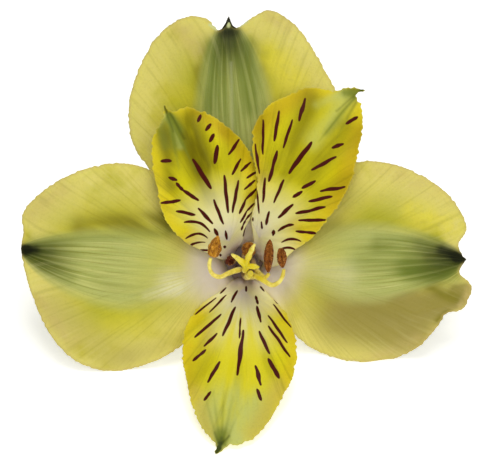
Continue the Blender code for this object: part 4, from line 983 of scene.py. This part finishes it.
def antherSurface():
    # Anther skin: dry and papery once it has split, from golden to shrivelled brown and deep maroon,
    # mottled by loose pollen in clumps, drawn coarser than its single grains so that they show.
    finish = {"Roughness": 0.75, "Subsurface Weight": 0.05, "Subsurface Radius": (1.0, 0.4, 0.1),
              "Subsurface Scale": 0.0003, "Specular IOR Level": 0.2}
    patterns = {"mottle": (anther["mottleSize"], 3.0), "shade": (anther["shadeSize"], 2.0)}
    layers = [
        (anther["golden"], 0.9, ("mottle", 0.5, 0.66)),
        (anther["shade"], 0.9, ("mottle", 0.48, 0.34)),
        (anther["tawny"], 0.6, ("shade", 0.45, 0.65)),
        (anther["brown"], 0.9, ("browning", 0.0, 1.0)),
        (anther["lightBrown"], 0.6, ("browning", 0.0, 1.0), ("mottle", 0.5, 0.7)),
        (anther["darkBrown"], 0.8, ("browning", 0.0, 1.0), ("mottle", 0.45, 0.32)),
        (anther["maroon"], 0.9, ("browning", 1.0, 1.6)),
        (anther["slit"], 0.7, ("cover", 0.4, 1.0)),
    ]
    return paintedSurface("antherSkin", finish, anther["skin"], patterns, layers, ("mottle",), 0.25)


def powderSurface(name, colour, speckle, scatter, roughness):
    # Loose grains: pollen is a matt ochre powder, and stigma papillae are wet, glassy and pale.
    finish = {"Roughness": roughness, "Subsurface Weight": scatter, "Subsurface Radius": (1.0, 0.7, 0.2),
              "Subsurface Scale": 0.0002}
    return paintedSurface(name, finish, colour, {"speckle": (anther["speckleSize"], 2.0)},
                          [(speckle, 1.0, ("speckle", 0.4, 0.6))])


def stalkSurface():
    # Ovary and stalk: taut green skin under a thin wax, darker in the furrows, with fine lengthwise lines,
    # whose sizes are shares of the way round and of the way along.
    finish = {"Roughness": 0.4, "IOR": 1.42, "Subsurface Weight": 0.12, "Subsurface Radius": (0.6, 1.0, 0.3),
              "Subsurface Scale": 0.0008, "Coat Weight": 0.08, "Coat Roughness": 0.4}
    patterns = {"lines": ("round", "along", 1 / stalk["linesRound"], 1 / stalk["linesAlong"], 3.0),
                "mottle": (stalk["mottleSize"], 4.0)}
    layers = [
        (stalk["furrow"], 0.55, ("wave", 0.4, -1.0)),
        (stalk["line"], 0.5, ("lines", 0.45, 0.7)),
        (stalk["mottle"], 0.5, ("mottle", 0.5, 0.8)),
        (stalk["lowEnd"], 0.4, ("along", 0.85, 1.0)),
        (stalk["topEnd"], 0.9, ("along", 0.012, 0.0)),
    ]
    return paintedSurface("stalkSkin", finish, stalk["skin"], patterns, layers, ("lines",), 0.15)


def cutSurface(centre):
    # The knife's cut across the stalk: wet pale pith inside a darker green ring. The ovary's own top, down
    # in the throat, is dull purple.
    finish = {"Roughness": 0.3, "Subsurface Weight": 0.25, "Subsurface Radius": (0.8, 1.0, 0.4),
              "Subsurface Scale": 0.0008}
    patterns = {"pith": (stalk["pithSize"], 3.0), "radius": tuple(centre)}
    layers = [
        (stalk["pithMottle"], 1.0, ("pith", 0.35, 0.65)),
        (stalk["ring"], 1.0, ("radius", 0.9 * mm, 1.4 * mm)),
        (stalk["throat"], 1.0, ("radius", 10.0 * mm, 20.0 * mm)),
    ]
    return paintedSurface("cutStalk", finish, stalk["pith"], patterns, layers, ("pith",), 0.2)


def makeAnther(number, spec, skin, pollen, tree):
    # two pollen sacs side by side, each split lengthwise, slightly shrunken and dusted with pollen
    way, length, width, thickness, browning = spec["anther"]
    way = np.array(way) / np.linalg.norm(way)
    rings, sides = anther["rings"], anther["sides"]
    broad = np.cross(way, (0, 0, 1))
    broad /= np.linalg.norm(broad)
    deep = np.cross(way, broad)
    foot = np.array(spec["path"][-1]) + stamens["joinGap"] * way
    outline = spec["outline"]
    marks = [(i / (len(outline) - 1), value) for i, value in enumerate(outline)]
    smooth = smoothCurve(marks, anther["outlineSteps"])[0]
    angles = 2 * math.pi * np.arange(sides) / sides
    cosine, sine = np.cos(angles), np.sin(angles)
    offset, radius = anther["sacOffset"], anther["sacRadius"]
    lobe = offset * np.abs(cosine) + np.sqrt(np.maximum(radius**2 - (offset * sine) ** 2, 0))
    slit = np.zeros(sides)
    for place in (-anther["slitAngle"], math.pi + anther["slitAngle"]):
        turn = np.angle(np.exp(1j * (angles - place)))
        slit += np.exp(-((turn / anther["slitWidth"]) ** 2))
    points, cover = [], []
    for t in np.linspace(0, 1, rings):
        centre = foot + t * length * way + anther["twist"] * math.sin(3 * t + number) * broad
        gape = slit * math.sin(math.pi * t)
        shrink = 1 + anther["shrink"] * ripple(2 * cosine + 9 * number, 2 * sine + 5 * t, 0.4 * number)
        swell = np.interp(t, smooth[:, 0], smooth[:, 1]) * shrink * (lobe - anther["slitDepth"] * gape)
        across = 0.5 * width * swell * cosine
        depth = 0.5 * thickness / radius * swell * sine
        points.append(centre + across[:, None] * broad + depth[:, None] * deep)
        cover.append(np.clip(gape + anther["skinCover"], 0, 1))
    points = np.concatenate(points + [[foot], [foot + length * way]])
    start, end, last = rings * sides, rings * sides + 1, (rings - 1) * sides
    faces = []
    for i in range(sides):
        j = (i + 1) % sides
        faces += [(start, j, i), (end, last + i, last + j)]
        faces += [(k + i, k + j, k + sides + j, k + sides + i) for k in range(0, last, sides)]
    mesh = skinMesh("antherSacs", faceToRow(points), faces, skin)
    storeValues(mesh, {"cover": np.concatenate(cover + [[anther["endCover"]] * 2]),
                       "browning": np.full(len(points), browning)})
    made = throughNodes(mesh, tree, {
        "Grain Size": anther["pollenSize"] * mm, "Seed": number, "Grain": pollen,
        "Density": anther["pollenDensity"] / mm**2})
    addPiece(f"anther{number}", made, "anther", f"anther_{number}")


def makeOrgans():
    stems, grains = stemTree(), grainTree()
    flesh, skin = filamentSurface(), antherSurface()
    pollen = powderSurface("pollenPowder", anther["pollen"], anther["pollenSpeckle"], 0.05, 0.75)
    papilla = powderSurface("stigmaPapillae", pistil["papilla"], pistil["papillaSpeckle"], 0.4, 0.3)
    build = {"Spacing": stamens["spacing"] * mm, "Sides": stamens["sides"], "Ribs": 0, "Skin": flesh,
             "Cut": flesh}
    for number in range(1, 7):
        spec = stamens[number]
        angle = math.radians(spec["angle"])
        ring = stamens["filamentRing"]
        foot = (ring * math.cos(angle), ring * math.sin(angle), stamens["base"])
        girths = spec.get("girths", stamens["girths"])
        line = lineMesh("filamentLine", [stemLine([foot] + spec["path"], girths)])
        addPiece(f"filament{number}", throughNodes(line, stems, build), "filament", f"filament_{number}")
        if spec["anther"]:
            makeAnther(number, spec, skin, pollen, grains)
    print("stamens ready")
    makePistil(stems, grains, build, papilla)
    makeStalk(stems)


def makePistil(stems, grains, build, papilla):
    # the style with its three stigmas, whose tips are set with wet papillae
    lines = [stemLine(pistil["stylePath"], pistil["styleGirths"])]
    lines += [stemLine(path, pistil["stigmaGirths"], pistil["stigmaRings"], pistil["stigmaLumps"])
              for path in pistil["stigmaPaths"]]
    made = throughNodes(lineMesh("styleLine", lines), stems, build)
    tips = faceToRow([path[-1] for path in pistil["stigmaPaths"]])
    places = np.array([v.co for v in made.vertices])
    gaps = np.linalg.norm(places[:, None] - tips[None], axis=2).min(axis=1) / mm
    storeValues(made, {"cover": ease(1 - gaps / pistil["papillaReach"])})
    made = throughNodes(made, grains, {
        "Grain Size": pistil["papillaSize"] * mm, "Seed": pistil["papillaSeed"], "Grain": papilla,
        "Density": pistil["papillaDensity"] / mm**2})
    addPiece("styleAndStigma", made, "style", "style")
    print("pistil ready")


def makeStalk(stems):
    # the ribbed ovary and the stalk behind the face, bending down to lie along the floor
    tilt = math.radians(bloom["faceTilt"])
    outward = np.array([0.0, -math.cos(tilt), math.sin(tilt)])
    top = np.array(bloom["throat"]) + stalk["ovaryTop"] * outward
    base = top - stalk["ovaryLength"] * outward
    bendRadius = (base[2] - stalk["girth"]) / (1 - math.cos(tilt))
    widening = stalk["cutGirth"] - stalk["girth"]
    shares = np.linspace(0, 1, stalk["ovaryRings"])
    path = [top + share * (base - top) for share in shares]
    last = len(stalk["ovaryGirths"]) - 1
    girths = list(np.interp(last * shares, range(last + 1), stalk["ovaryGirths"]))
    ribs = list(np.interp(shares, [stalk["ribTaper"], 1], [stalk["ovaryRib"], stalk["ovaryEndRib"]]))
    for share in np.linspace(0, 1, stalk["bendRings"])[1:]:
        angle = tilt * (1 - share)
        back = bendRadius * (math.sin(tilt) - math.sin(angle))
        fall = bendRadius * (math.cos(angle) - math.cos(tilt))
        path.append(base + np.array([0, back, -fall]))
        girths.append(stalk["girth"] + stalk["shoulder"] * (1 - share))
    rest = path[-1]
    for share in np.linspace(0, 1, stalk["runRings"])[1:]:
        path.append(rest + np.array([stalk["bow"] * share**2, stalk["run"] * share, widening * share**3]))
        girths.append(stalk["girth"] + widening * share**3)
    ribs += [stalk["stalkRib"]] * (len(path) - len(ribs))
    line = lineMesh("stalkLine", [(np.array(path) * mm, girths, ribs)])
    made = throughNodes(line, stems, {"Spacing": stalk["spacing"] * mm, "Sides": stalk["sides"],
                                      "Ribs": stalk["ribs"], "Skin": stalkSurface(),
                                      "Cut": cutSurface(path[-1] * mm)})
    addPiece("stalkAndOvary", made, "stalk", "stalk_and_ovary")
    print("ovary and stalk ready")


makeOrgans()


# Studio: a pale floor, soft light, and the camera straight in front of the bloom's face. Places and sizes
# are in metres, and powers in watts, but fibreSize, viewWidth, viewCentre and aim are in the face's mm.

studio = {
    "floor": "#F3F2EF", "floorFibre": "#F0EFEC", "fibreSize": 11.1, "glow": "#FFFFFF", "floorGlow": 0.48,
    "floorSize": 3.0, "world": "#FFFFFF", "worldStrength": 0.3, "aim": (0.0, 5.0, 0.0),
    "keyPlace": (0.04, -0.1, 0.8), "keySize": 0.4, "keyPower": 2.85,
    "fillPlace": (0.1, -0.72, 0.66), "fillSize": 0.5, "fillPower": 2.75,
    "cameraDistance": 1.2, "viewWidth": 86.25, "viewCentre": (-0.45, 6.43, 0.0), "sensorWidth": 36.0,
    "farthest": 20.0,
}


def makeFloor():
    # plain matt paper, lifted a little so that it stays pale in the shade
    finish = {"Roughness": 0.8, "Emission Color": hexColour(studio["glow"]),
              "Emission Strength": studio["floorGlow"]}
    paper = paintedSurface("paleStudioFloor", finish, studio["floor"], {"fibre": (studio["fibreSize"], 4.0)},
                           [(studio["floorFibre"], 1.0, ("fibre", 0.45, 0.7))])
    half = 0.5 * studio["floorSize"]
    corners = [(-half, -half, 0), (half, -half, 0), (half, half, 0), (-half, half, 0)]
    inScene("studioFloor", skinMesh("studioFloor", corners, [(0, 1, 2, 3)], paper))


def makeLights():
    world = bpy.data.worlds.new("studioWorld")
    world.use_nodes = True
    sky = world.node_tree.nodes["Background"].inputs
    sky["Color"].default_value = hexColour(studio["world"])
    sky["Strength"].default_value = studio["worldStrength"]
    bpy.context.scene.world = world
    aim = Vector(faceToRow([studio["aim"]])[0])
    for name in ("key", "fill"):
        lamp = bpy.data.lights.new(name + "Light", "AREA")
        lamp.size = studio[name + "Size"]
        lamp.energy = studio[name + "Power"]
        light = inScene(name + "Light", lamp)
        light.location = studio[name + "Place"]
        light.rotation_euler = (aim - light.location).to_track_quat("-Z", "Y").to_euler()


def makeCamera():
    tilt = math.radians(bloom["faceTilt"])
    outward = Vector((0.0, -math.cos(tilt), math.sin(tilt)))
    view = bpy.data.cameras.new("faceCamera")
    view.sensor_width = studio["sensorWidth"]
    view.lens = studio["sensorWidth"] * studio["cameraDistance"] / (studio["viewWidth"] * mm)
    view.clip_end = studio["farthest"]
    camera = inScene("faceCamera", view)
    camera.location = Vector(faceToRow([studio["viewCentre"]])[0]) + studio["cameraDistance"] * outward
    camera.rotation_euler = (-outward).to_track_quat("-Z", "Y").to_euler()
    bpy.context.scene.camera = camera
    # the plain transform keeps the petals' yellows and greens as clear as they are painted
    bpy.context.scene.view_settings.view_transform = "Standard"


makeFloor()
makeLights()
makeCamera()
print("studio ready")
